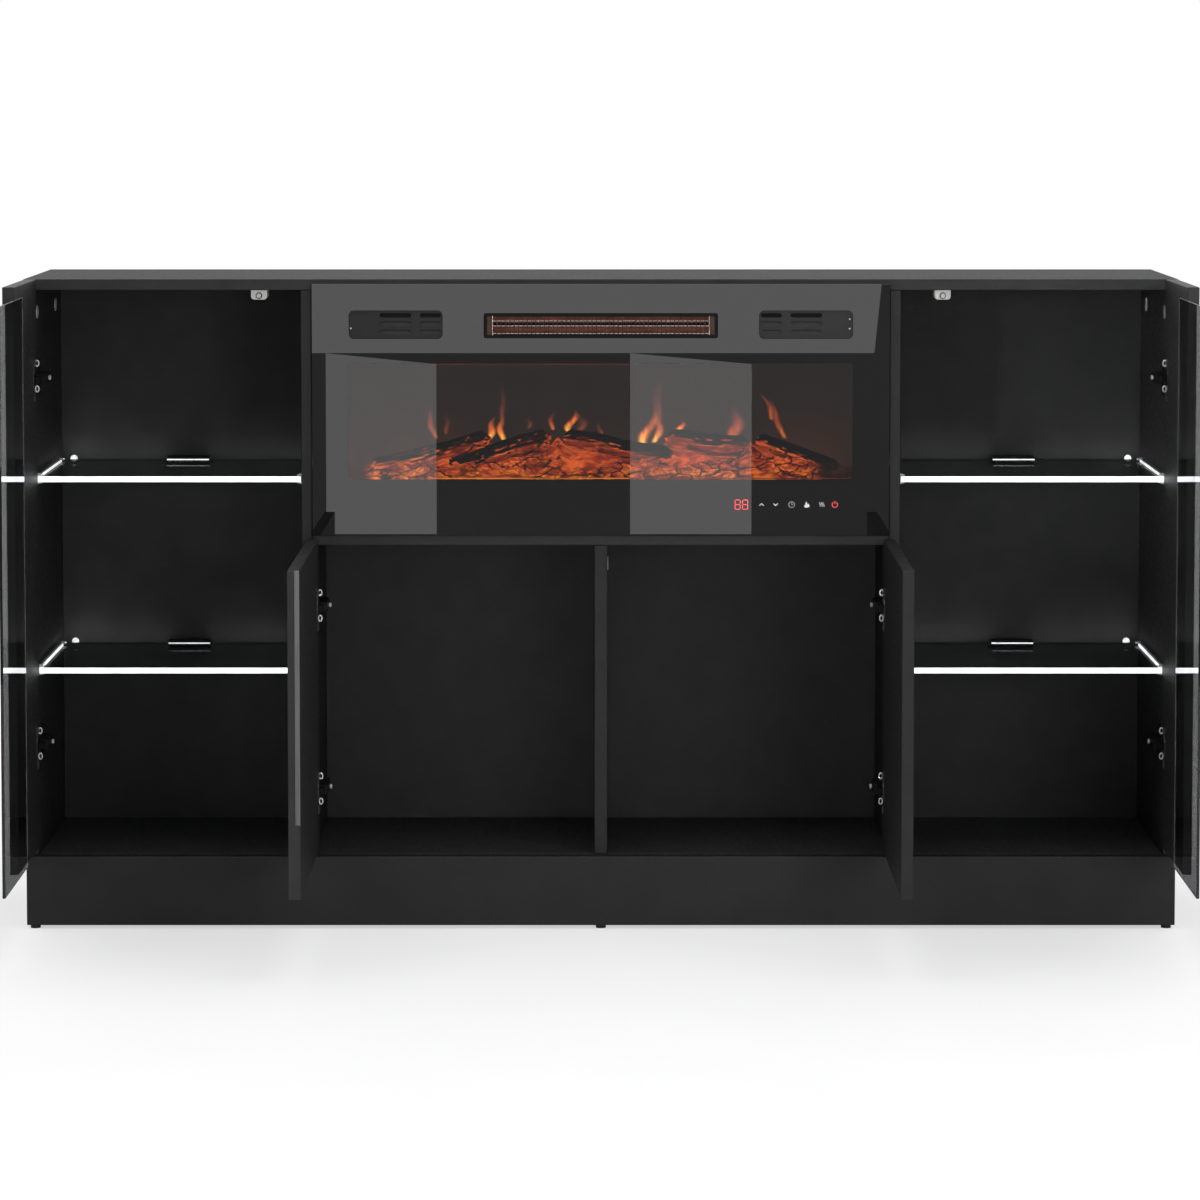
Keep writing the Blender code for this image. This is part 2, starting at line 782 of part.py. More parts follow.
def make_hinge_cup(name, door, level, pivot):
    """A hinge cup with its rim, its ears, its screws and the pin across it."""
    face = door.point(CUP_CENTRE, -GAP, level)
    lip = door.point(CUP_CENTRE, -GAP - CUP_LIP, level)
    cup = make(
        name,
        rod(lip, door.point(CUP_CENTRE, CUP_DEPTH, level), CUP_RADIUS, CUP_SIDES),
        nickel_steel(),
        origin=door.pivot,
        parent=pivot,
        smooth=True,
    )
    join(cup, rod(lip, face, CUP_RADIUS + CUP_RIM, CUP_SIDES))
    ears = box(
        door.point(CUP_CENTRE - CUP_EAR_WIDTH / 2, -GAP, level - CUP_EAR_LENGTH / 2),
        door.point(CUP_CENTRE + CUP_EAR_WIDTH / 2, -GAP - CUP_LIP, level + CUP_EAR_LENGTH / 2),
    )
    join(cup, ears)
    floor = door.point(CUP_CENTRE, CUP_DEPTH - CUP_WALL, level)
    cut(cup, rod(door.point(CUP_CENTRE, -DOOR, level), floor, CUP_RADIUS - CUP_WALL, CUP_SIDES))
    pin_offset = CUP_CENTRE - PIVOT_INSET + PIN_RADIUS
    reach = math.sqrt((CUP_RADIUS - CUP_WALL / 2) ** 2 - pin_offset ** 2)
    pin = door.point(PIVOT_INSET, PIVOT_DEPTH, level)
    join(cup, rod(pin - Vector((0, 0, reach)), pin + Vector((0, 0, reach)), PIN_RADIUS, SCREW_SIDES))
    screws = bmesh.new()
    for offset in (-CUP_SCREW_SPREAD, CUP_SCREW_SPREAD):
        bottom = door.point(CUP_CENTRE, -GAP - CUP_LIP / 2, level + offset)
        top = door.point(CUP_CENTRE, -GAP - CUP_LIP - SCREW_HEAD / 2, level + offset)
        add_rod(screws, bottom, top, SCREW_RADIUS, SCREW_SIDES)
    join(cup, screws)


def arm_outline(door):
    """The goose neck from above: out of the arm box, forward past the door's edge and back to the pin."""
    front = -DOOR_GAP - PIVOT_DEPTH - ARM_SHEET / 2
    inner = PIVOT_INSET + ARM_ELBOW
    turns = (
        (inner, ARM_BOX_FRONT + ARM_SHEET),
        (inner, front + ARM_SHEET),
        (PIVOT_INSET, front + ARM_SHEET),
        (PIVOT_INSET, front),
        (inner + ARM_SHEET, front),
        (inner + ARM_SHEET, ARM_BOX_FRONT + ARM_SHEET),
    )
    return [tuple(door.cabinet_point(inward, behind, 0).xy) for inward, behind in turns]


def make_hinge_arm(name, door, level, board_face):
    """A hinge arm on a board's inner face: knuckle, goose neck, arm box, mounting plate and screws."""
    seat = board_face + GAP
    half = ARM_HALF_WIDTH
    arm = make(
        name,
        box(
            door.cabinet_point(seat, ARM_BOX_FRONT, level - ARM_BOX_HALF_WIDTH),
            door.cabinet_point(ARM_TOP, ARM_BOX_FRONT + ARM_BOX_LENGTH, level + ARM_BOX_HALF_WIDTH),
        ),
        nickel_steel(),
    )
    join(arm, outline(arm_outline(door), level - half, level + half, "Z"))
    pivot_behind = -DOOR_GAP - PIVOT_DEPTH
    knuckle_half = half + KNUCKLE_RISE
    bottom = door.cabinet_point(PIVOT_INSET, pivot_behind, level - knuckle_half)
    top = door.cabinet_point(PIVOT_INSET, pivot_behind, level + knuckle_half)
    join(arm, rod(bottom, top, PIN_RADIUS + GAP + KNUCKLE_WALL, KNUCKLE_SIDES))
    reach = Vector((0, 0, half))
    cut(arm, rod(bottom - reach, top + reach, PIN_RADIUS + GAP, KNUCKLE_SIDES))
    plate_front = PLATE_CENTRE - PLATE_WIDTH / 2
    plate = box(
        door.cabinet_point(seat, plate_front, level - PLATE_HEIGHT / 2),
        door.cabinet_point(seat + PLATE, plate_front + PLATE_WIDTH, level + PLATE_HEIGHT / 2),
    )
    join(arm, plate)
    join(arm, arm_screws(door, level, seat))


def arm_screws(door, level, seat):
    """Two screws that hold the mounting plate, and the adjusting screw at the back of the arm."""
    shape = bmesh.new()
    for offset in (-SCREW_SPREAD, SCREW_SPREAD):
        bottom = door.cabinet_point(seat + PLATE / 2, PLATE_CENTRE, level + offset)
        top = door.cabinet_point(seat + PLATE + SCREW_HEAD, PLATE_CENTRE, level + offset)
        add_rod(shape, bottom, top, SCREW_RADIUS, SCREW_SIDES)
    adjuster = ARM_BOX_FRONT + ARM_BOX_LENGTH - 2 * SCREW_RADIUS
    bottom = door.cabinet_point(ARM_TOP - SCREW_HEAD, adjuster, level)
    top = door.cabinet_point(ARM_TOP + SCREW_HEAD, adjuster, level)
    add_rod(shape, bottom, top, SCREW_RADIUS, SCREW_SIDES)
    return shape


def make_hinges(door, pivot, board_face):
    for place, level in door.hinge_levels.items():
        make_hinge_cup(f"{door.name}_{place}_hinge_cup", door, level, pivot)
        make_hinge_arm(f"{door.name}_{place}_hinge_arm", door, level, board_face)


def make_doors():
    for name, side in SIDES.items():
        tall = tall_door(name, side)
        low = low_door(name, side)
        tall_pivot = pivot_empty(tall)
        low_pivot = pivot_empty(low)
        make_tall_door(tall, tall_pivot)
        panel = make_low_door(low, low_pivot)
        if name == "left":
            make_grip_strip(low, low_pivot, panel)
        make_hinges(tall, tall_pivot, tall.edge - SIDE_INNER)
        make_hinges(low, low_pivot, low.edge - BAY_HALF_WIDTH)


# Push latches

def latch_outline(x, low, high):
    """The front of a latch housing: square where it meets the top board and round below."""
    half = LATCH_WIDTH / 2
    across = half - LATCH_CORNER
    left = arc((x - across, low + LATCH_CORNER), LATCH_CORNER, 180, 270, 4)
    right = arc((x + across, low + LATCH_CORNER), LATCH_CORNER, 270, 360, 4)
    return [(x - half, high), *left, *right, (x + half, high)]


def make_latches():
    """Two latches under the top board, each with a sprung plunger that the closed door's pane meets."""
    high = TOP_UNDERSIDE - GAP
    low = high - LATCH_HEIGHT
    level = (low + high) / 2 - PLUNGER_DROP
    front = FRONT + LATCH_SETBACK
    tip = FRONT - DOOR_GAP + PLUNGER_DOOR_GAP
    end = tip + PLUNGER_LENGTH
    for name, side in SIDES.items():
        x = side * (DIVIDER_OUTER + LATCH_FROM_DIVIDER)
        housing = make(
            f"{name}_latch_housing",
            outline(latch_outline(x, low, high), front, front + LATCH_DEPTH, "Y"),
            white_plastic(),
        )
        bore_end = end + PLUNGER_TRAVEL + PLUNGER_SPACE
        cut(housing, rod((x, tip, level), (x, front + LATCH_MOUTH_DEPTH, level), LATCH_MOUTH))
        cut(housing, rod((x, tip, level), (x, bore_end, level), PLUNGER_RADIUS + GAP))
        plunger = rod((x, tip, level), (x, end, level), PLUNGER_RADIUS)
        make(f"{name}_latch_plunger", plunger, white_plastic(), origin=(x, tip, level), smooth=True)


# Fireplace front

def grille_outline(margin):
    """The outline of the heater's cut-out, drawn in by a margin."""
    width = GRILLE_WIDTH - 2 * margin
    height = GRILLE_HEIGHT - 2 * margin
    return rounded((0, GRILLE_LEVEL), width, height, max(GRILLE_CORNER - margin, GRILLE_CORNER / 3))


def vent_outline(side, margin):
    """The outline of a vent's cut-out, drawn in by a margin."""
    width = VENT_WIDTH - 2 * margin
    height = VENT_HEIGHT - 2 * margin
    corner = max(VENT_CORNER - margin, VENT_CORNER / 3)
    return rounded((side * VENT_CENTRE, VENT_LEVEL), width, height, corner)


def make_fire_front():
    """The black front glass with its three cut-outs, and the steel frame that carries it."""
    glass = make(
        "fire_front_glass",
        box((-FIRE_HALF_WIDTH, GLASS_FRONT, FIRE_BOTTOM), (FIRE_HALF_WIDTH, GLASS_BACK, FIRE_TOP)),
        black_glass(),
        edge=EDGE / 2,
    )
    frame_half = FIRE_HALF_WIDTH - FRAME_INSET
    frame = make(
        "fire_front_frame",
        box(
            (-frame_half, FRAME_FRONT, FIRE_BOTTOM + FRAME_INSET),
            (frame_half, FRAME_BACK, FIRE_TOP - FRAME_INSET),
        ),
        black_steel(),
    )
    near = GLASS_FRONT - BOARD
    far = FRAME_BACK + BOARD
    cut(glass, outline(grille_outline(0), near, far, "Y"))
    cut(frame, outline(grille_outline(GRILLE_RIM), near, far, "Y"))
    for side in SIDES.values():
        cut(glass, outline(vent_outline(side, 0), near, far, "Y"))
        cut(frame, outline(vent_outline(side, VENT_LAP), near, far, "Y"))
    cut(frame, box((-WINDOW_WIDTH / 2, near, WINDOW_LOW), (WINDOW_WIDTH / 2, far, WINDOW_HIGH)))
    control = rounded((CONTROL_CENTRE, CONTROL_LEVEL), CONTROL_WIDTH, CONTROL_HEIGHT, GRILLE_CORNER)
    cut(frame, outline(control, near, far, "Y"))


def slot_outlines(side):
    """Two columns of slots in a vent, with the blank end away from the middle of the cabinet."""
    start = VENT_CENTRE - VENT_WIDTH / 2 + SLOT_MARGIN
    inner_centre = start + INNER_SLOT / 2
    outer_centre = start + INNER_SLOT + SLOT_SPACE + OUTER_SLOT / 2
    for row in range(SLOT_ROWS):
        level = VENT_LEVEL + SLOT_LIFT + (row - (SLOT_ROWS - 1) / 2) * SLOT_PITCH
        for centre, length in ((inner_centre, INNER_SLOT), (outer_centre, OUTER_SLOT)):
            yield rounded((side * centre, level), length, SLOT_HEIGHT, SLOT_HEIGHT * SLOT_ROUNDNESS, 2)


def make_vent_inserts():
    back = GLASS_BACK
    front = back - VENT_PLATE
    for name, side in SIDES.items():
        insert = make(
            f"{name}_vent_insert",
            outline(vent_outline(side, GAP), front, back, "Y"),
            black_steel(),
        )
        slots = bmesh.new()
        for points in slot_outlines(side):
            add_outline(slots, points, front - VENT_PLATE, back + VENT_PLATE / 2, "Y")
        cut(insert, slots)


def make_heater_grille():
    """A rim in the front glass, with upright bars halfway down it."""
    grille = make(
        "heater_grille",
        outline(grille_outline(GAP), GLASS_FRONT, GLASS_BACK, "Y"),
        nickel_steel(),
    )
    middle = (GLASS_FRONT + GLASS_BACK) / 2
    inside = grille_outline(GRILLE_RIM)
    cut(grille, outline(inside, GLASS_FRONT - BOARD, middle - GRILLE_BAR / 2, "Y"))
    cut(grille, outline(inside, middle + GRILLE_BAR / 2, GLASS_BACK + BOARD, "Y"))
    inner_half = GRILLE_WIDTH / 2 - GRILLE_RIM
    reach = GRILLE_HEIGHT / 2 - GRILLE_RIM - EDGE
    bars = int((inner_half - GRILLE_PITCH) / GRILLE_PITCH)
    spaces = bmesh.new()
    for number in range(-bars, bars):
        x = (number + 0.5) * GRILLE_PITCH
        half = (GRILLE_PITCH - GRILLE_BAR) / 2
        add_box(
            spaces,
            (x - half, middle - GRILLE_BAR, GRILLE_LEVEL - reach),
            (x + half, middle + GRILLE_BAR, GRILLE_LEVEL + reach),
        )
    cut(grille, spaces)


def make_control_board():
    """The circuit board behind the touch marks, with its two-digit display in the frame's cut-out."""
    display_x = CONTROL_CENTRE - CONTROL_WIDTH / 2 + DISPLAY_WIDTH / 2 + GRILLE_CORNER / 2
    reach = CONTROL_WIDTH / 2 + CIRCUIT_MARGIN
    rise = CONTROL_HEIGHT / 2 + CIRCUIT_MARGIN
    front = FRONT + GAP
    shape = box(
        (CONTROL_CENTRE - reach, front, CONTROL_LEVEL - rise),
        (CONTROL_CENTRE + reach, front + CIRCUIT_BOARD, CONTROL_LEVEL + rise),
    )
    obj = make("control_board", shape, circuit_green())
    display = box(
        (display_x - DISPLAY_WIDTH / 2, FRAME_FRONT + GAP, CONTROL_LEVEL - DISPLAY_HEIGHT / 2),
        (display_x + DISPLAY_WIDTH / 2, front + CIRCUIT_BOARD / 2, CONTROL_LEVEL + DISPLAY_HEIGHT / 2),
    )
    join(obj, display)


# Fireplace inside

def gland_place():
    """Where the cord gland sits on the back of the case, as X and Z."""
    return (CASE_WIDTH / 2 - GLAND_FROM_RIGHT, CASE_BOTTOM + GLAND_RISE)


def make_case():
    """The sheet case with the plates under and over the fire, the rod's motor and the cord gland."""
    half = CASE_WIDTH / 2
    case = make(
        "firebox_case",
        box((-half, FRONT, CASE_BOTTOM), (half, FRONT + CASE_DEPTH, CASE_TOP)),
        black_steel(),
    )
    inside = box(
        (-CASE_INNER_HALF, FRONT - BOARD, CASE_BOTTOM + CASE_WALL),
        (CASE_INNER_HALF, CASE_INNER_BACK, CASE_TOP - CASE_WALL),
    )
    cut(case, inside)
    join(case, box(*plate_corners(UNDER_FIRE_TOP - PLATE_UNDER_FIRE, UNDER_FIRE_TOP)))
    join(case, box(*plate_corners(OVER_FIRE_LOW, OVER_FIRE_TOP)))
    motor_start = CASE_INNER_HALF - ROD_MOTOR_LENGTH
    motor_end = CASE_INNER_HALF + CASE_WALL / 2
    motor = rod(
        (motor_start, ROD_Y, ROD_LEVEL), (motor_end, ROD_Y, ROD_LEVEL), ROD_MOTOR_RADIUS, WIDE_SIDES
    )
    join(case, motor)
    x, z = gland_place()
    back = FRONT + CASE_DEPTH
    seat = back - CASE_WALL / 2
    join(case, rod((x, seat, z), (x, back + GLAND_LENGTH, z), GLAND_RADIUS, WIDE_SIDES))
    join(case, rod((x, seat, z), (x, back + GLAND_FLANGE, z), GLAND_FLANGE_RADIUS, WIDE_SIDES))


def plate_corners(low, high):
    """The corners of a level plate whose sides and back are let into the case's walls."""
    half = CASE_INNER_HALF + CASE_WALL / 2
    return (-half, FRONT + GAP, low), (half, CASE_INNER_BACK + CASE_WALL / 2, high)


def make_heater():
    """Two glowing rods right behind the grille, held at their ends by brackets on the plate below."""
    y = FRONT + ELEMENT_SETBACK
    high = GRILLE_LEVEL + ELEMENT_SPREAD + 2 * ELEMENT_RADIUS
    rods, brackets = bmesh.new(), bmesh.new()
    for offset in (-ELEMENT_SPREAD, ELEMENT_SPREAD):
        z = GRILLE_LEVEL + offset
        add_rod(rods, (-ELEMENT_HALF_LENGTH, y, z), (ELEMENT_HALF_LENGTH, y, z), ELEMENT_RADIUS)
    for side in SIDES.values():
        inner = ELEMENT_HALF_LENGTH - BRACKET / 2
        add_box(
            brackets,
            (side * inner, y - BRACKET_HALF_DEPTH, OVER_FIRE_TOP + GAP),
            (side * (inner + BRACKET), y + BRACKET_HALF_DEPTH, high),
        )
    heater = make("heater_element", rods, hot_element(), smooth=True)
    join(heater, brackets)


def star_outline(centre, outer, root, points):
    """A wheel's section, with a blade on every other step round its root circle."""
    outline_points = []
    turns = ((0.0, root), (BLADE_START, root), (BLADE_TIP, outer), (BLADE_TIP_END, outer))
    for number in range(points):
        for share, radius in turns:
            angle = 2 * math.pi * (number + share) / points
            across, up = radius * math.cos(angle), radius * math.sin(angle)
            outline_points.append((centre[0] + across, centre[1] + up))
    return outline_points


def make_blower():
    """A cross-flow wheel on a shaft between two end plates, its scroll and its motor."""
    y = FRONT + WHEEL_SETBACK
    z = WHEEL_LEVEL
    plate_start = WHEEL_HALF_LENGTH + END_PLATE_SPACE
    plate_end = plate_start + END_PLATE
    section = star_outline((y, z), WHEEL_RADIUS, WHEEL_ROOT, WHEEL_BLADES)
    wheel = make(
        "blower_wheel",
        outline(section, -WHEEL_HALF_LENGTH, WHEEL_HALF_LENGTH, "X"),
        satin_aluminium(),
        origin=(0, y, z),
    )
    join(wheel, rod((-plate_end, y, z), (plate_end, y, z), SHAFT_RADIUS))

    inner = WHEEL_RADIUS + SCROLL_CLEARANCE
    scroll = arc((y, z), inner + SCROLL_SHEET, SCROLL_START, SCROLL_END, SCROLL_STEPS)
    scroll += arc((y, z), inner, SCROLL_END, SCROLL_START, SCROLL_STEPS)
    scroll_half = plate_start + END_PLATE / 2
    housing = make(
        "blower_housing",
        outline(scroll, -scroll_half, scroll_half, "X"),
        black_steel(),
    )
    reach = inner + SCROLL_SHEET + END_PLATE_MARGIN
    plates = bmesh.new()
    for side in SIDES.values():
        add_box(
            plates,
            (side * plate_start, y - reach, OVER_FIRE_TOP + GAP),
            (side * plate_end, y + reach, z + reach),
        )
    join(housing, plates)
    motor_start = plate_end - END_PLATE / 2
    motor_end = plate_end + MOTOR_LENGTH
    join(housing, rod((motor_start, y, z), (motor_end, y, z), MOTOR_RADIUS, WIDE_SIDES))
    bearing = rod((-plate_end - BOARD, y, z), (plate_end + GAP, y, z), SHAFT_RADIUS + GAP)
    cut(housing, bearing)


def make_flame_screen():
    half = CASE_INNER_HALF - GAP
    low = UNDER_FIRE_TOP + GAP
    high = OVER_FIRE_LOW - GAP
    shape = box((-half, SCREEN_FRONT, low), (half, SCREEN_FRONT + SCREEN, high))
    make("flame_screen", shape, flame_diffuser())


def make_flame_rod():
    """The turning rod behind the screen, with its paddles set a quarter turn apart."""
    left = GAP - CASE_INNER_HALF
    right = CASE_INNER_HALF - ROD_MOTOR_LENGTH - GAP
    flame_rod = make(
        "flame_rod",
        rod((left, ROD_Y, ROD_LEVEL), (right, ROD_Y, ROD_LEVEL), ROD_RADIUS),
        satin_aluminium(),
        origin=(0, ROD_Y, ROD_LEVEL),
    )
    paddles = bmesh.new()
    step = (right - left) / PADDLES
    for number in range(PADDLES):
        x = left + (number + 0.5) * step
        tall, deep = (PADDLE_REACH, PADDLE_SHEET / 2) if number % 2 else (PADDLE_SHEET / 2, PADDLE_REACH)
        add_box(
            paddles,
            (x - PADDLE_LENGTH / 2, ROD_Y - deep, ROD_LEVEL - tall),
            (x + PADDLE_LENGTH / 2, ROD_Y + deep, ROD_LEVEL + tall),
        )
    join(flame_rod, paddles)


def bed_shape():
    """A low uneven bed of coals between the glass and the flame screen, higher towards the back."""
    half = CASE_INNER_HALF - BED_SIDE_SPACE
    front = FRONT + BED_SETBACK
    back = SCREEN_FRONT - BED_SCREEN_SPACE
    depth = back - front
    shape = box((-half, front, UNDER_FIRE_TOP + GAP), (half, back, BED_TOP))
    lengthways = [edge for edge in shape.edges if abs(edge.verts[0].co.x - edge.verts[1].co.x) > half]
    bmesh.ops.subdivide_edges(shape, edges=lengthways, cuts=BED_COLUMNS, use_grid_fill=True)
    crossways = [edge for edge in shape.edges if abs(edge.verts[0].co.y - edge.verts[1].co.y) > depth / 2]
    bmesh.ops.subdivide_edges(shape, edges=crossways, cuts=BED_ROWS, use_grid_fill=True)
    for vertex in shape.verts:
        if vertex.co.z < BED_TOP - GAP:
            continue
        share = (vertex.co.y - front) / depth
        wave = math.sin(vertex.co.x * BED_RIPPLE) * math.cos(vertex.co.x * BED_SWAY + share * BED_SHIFT)
        vertex.co.z += BED_WAVE * wave - BED_HEIGHT / 2 * (1 - share)
    return shape


def log_shape(start, end, radius):
    """A split branch between two points: a round bar whose rings swell, sink and wander."""
    shape = bmesh.new()
    length = (end - start).length
    bmesh.ops.create_cone(
        shape, cap_ends=True, segments=LOG_SIDES, radius1=radius, radius2=radius * LOG_TAPER, depth=length
    )
    sides = [edge for edge in shape.edges if abs(edge.verts[0].co.z - edge.verts[1].co.z) > length / 2]
    bmesh.ops.subdivide_edges(shape, edges=sides, cuts=LOG_RINGS, use_grid_fill=True)
    for vertex in shape.verts:
        angle = math.atan2(vertex.co.y, vertex.co.x)
        along = vertex.co.z / length
        phase = LOG_LOBES * angle + LOG_TWIST * along + LOG_VARIETY * start.x
        swell = 1 + LOG_KNOTS * math.sin(phase)
        vertex.co.x = vertex.co.x * swell + radius * LOG_KNOTS * math.sin(LOG_BEND * along)
        vertex.co.y *= swell
    turn = (end - start).to_track_quat("Z", "Y").to_matrix().to_4x4()
    shape.transform(Matrix.Translation((start + end) / 2) @ turn)
    return shape


def make_log_bed():
    """The moulded bed of coals with its split logs lying end over end along it."""
    bed = make("log_bed", bed_shape(), glowing_embers(), smooth=True)
    for (x, behind, rise), (end_x, end_behind, end_rise), radius in LOGS:
        start = Vector((x, FRONT + behind, UNDER_FIRE_TOP + rise))
        end = Vector((end_x, FRONT + end_behind, UNDER_FIRE_TOP + end_rise))
        join(bed, log_shape(start, end, radius))


def main():
    clear_scene()
    collection("fireplace_sideboard")
    collection("cutters")
    make_carcass()
    make_plinths()
    make_back_panel()
    make_glass_shelves()
    make_shelf_lamps()
    make_doors()
    make_latches()
    make_fire_front()
    make_vent_inserts()
    make_heater_grille()
    make_control_board()
    make_case()
    make_heater()
    make_blower()
    make_flame_screen()
    make_flame_rod()
    make_log_bed()


main()
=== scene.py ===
"""The finishes, fittings, fire, lights and camera of a sideboard with an electric fireplace.

Metres, +Z up, fronts towards -Y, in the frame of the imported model.
"""

import itertools
import json
import logging
import math
from collections.abc import Iterable, Sequence
from dataclasses import dataclass
from enum import Enum
from functools import lru_cache
from typing import Protocol

import bmesh
import bpy
from mathutils import Matrix, Vector, noise

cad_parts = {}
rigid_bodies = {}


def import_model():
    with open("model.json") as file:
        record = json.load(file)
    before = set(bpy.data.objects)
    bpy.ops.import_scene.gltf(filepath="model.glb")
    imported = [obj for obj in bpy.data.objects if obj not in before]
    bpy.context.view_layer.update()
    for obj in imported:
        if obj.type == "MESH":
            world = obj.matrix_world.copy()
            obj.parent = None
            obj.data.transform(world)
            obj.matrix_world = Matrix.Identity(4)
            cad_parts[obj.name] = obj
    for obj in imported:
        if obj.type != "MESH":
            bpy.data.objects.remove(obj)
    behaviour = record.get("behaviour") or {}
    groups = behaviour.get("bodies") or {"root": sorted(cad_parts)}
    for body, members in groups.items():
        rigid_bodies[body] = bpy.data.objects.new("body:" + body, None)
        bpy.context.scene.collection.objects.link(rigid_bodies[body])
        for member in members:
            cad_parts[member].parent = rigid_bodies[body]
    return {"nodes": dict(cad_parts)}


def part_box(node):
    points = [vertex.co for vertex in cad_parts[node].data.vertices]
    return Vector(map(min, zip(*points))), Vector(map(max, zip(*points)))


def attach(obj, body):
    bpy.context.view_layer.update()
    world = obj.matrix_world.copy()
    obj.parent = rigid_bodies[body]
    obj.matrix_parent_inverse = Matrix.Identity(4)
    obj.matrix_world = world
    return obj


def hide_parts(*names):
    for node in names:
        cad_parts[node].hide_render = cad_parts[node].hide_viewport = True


LOG = logging.getLogger("fireplace_sideboard")
CABINET = "cabinet"

# How finely meshes are drawn, and the angle in degrees up to which a smooth piece has no crease
SMOOTH_ANGLE = 40.0
BEVEL_STEPS = 2
BEND_STEPS = 20
OVAL_STEPS = 28
WIRE_SIDES = 10
SCREW_SIDES = 20

Colour = tuple[float, float, float]
Pair = tuple[float, float]
Point = tuple[float, float, float]

# The stretch of a cloud pattern, of 0 to 1, over which a finish goes from its first value to its second
CLOUD_RANGE = (0.3, 0.7)
MIXED_RANGE = (0.35, 0.65)
WHITE = (1.0, 1.0, 1.0)
BLACK = (0.0, 0.0, 0.0)

for leftover in list(bpy.data.objects):
    bpy.data.objects.remove(leftover, do_unlink=True)
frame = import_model()


class Side(Enum):
    """A side of the cabinet, as the way that it lies from the middle."""

    LEFT = -1
    RIGHT = 1

    @property
    def word(self) -> str:
        """The side as it stands in the names of pieces."""
        return self.name.lower()


class Level(Enum):
    """Which of two like pieces, one over the other."""

    LOWER = "lower"
    UPPER = "upper"


class DoorKind(Enum):
    """A tall door at the end of the cabinet or a low one under the fire."""

    TALL = "tall"
    LOW = "low"


class Axis(Enum):
    """The axis that a flat outline is made thick along, with the two axes that it is drawn on."""

    X = (1, 2, 0)
    Y = (0, 2, 1)

    def place(self, first: float, second: float, depth: float) -> Vector:
        """A point of the outline in the object.

        Args:
            first: The outline's first coordinate.
            second: The outline's second coordinate.
            depth: The distance along the axis.

        Returns:
            The point, as X, Y and Z.
        """
        point = Vector((0.0, 0.0, 0.0))
        for index, value in zip(self.value, (first, second, depth)):
            point[index] = value
        return point


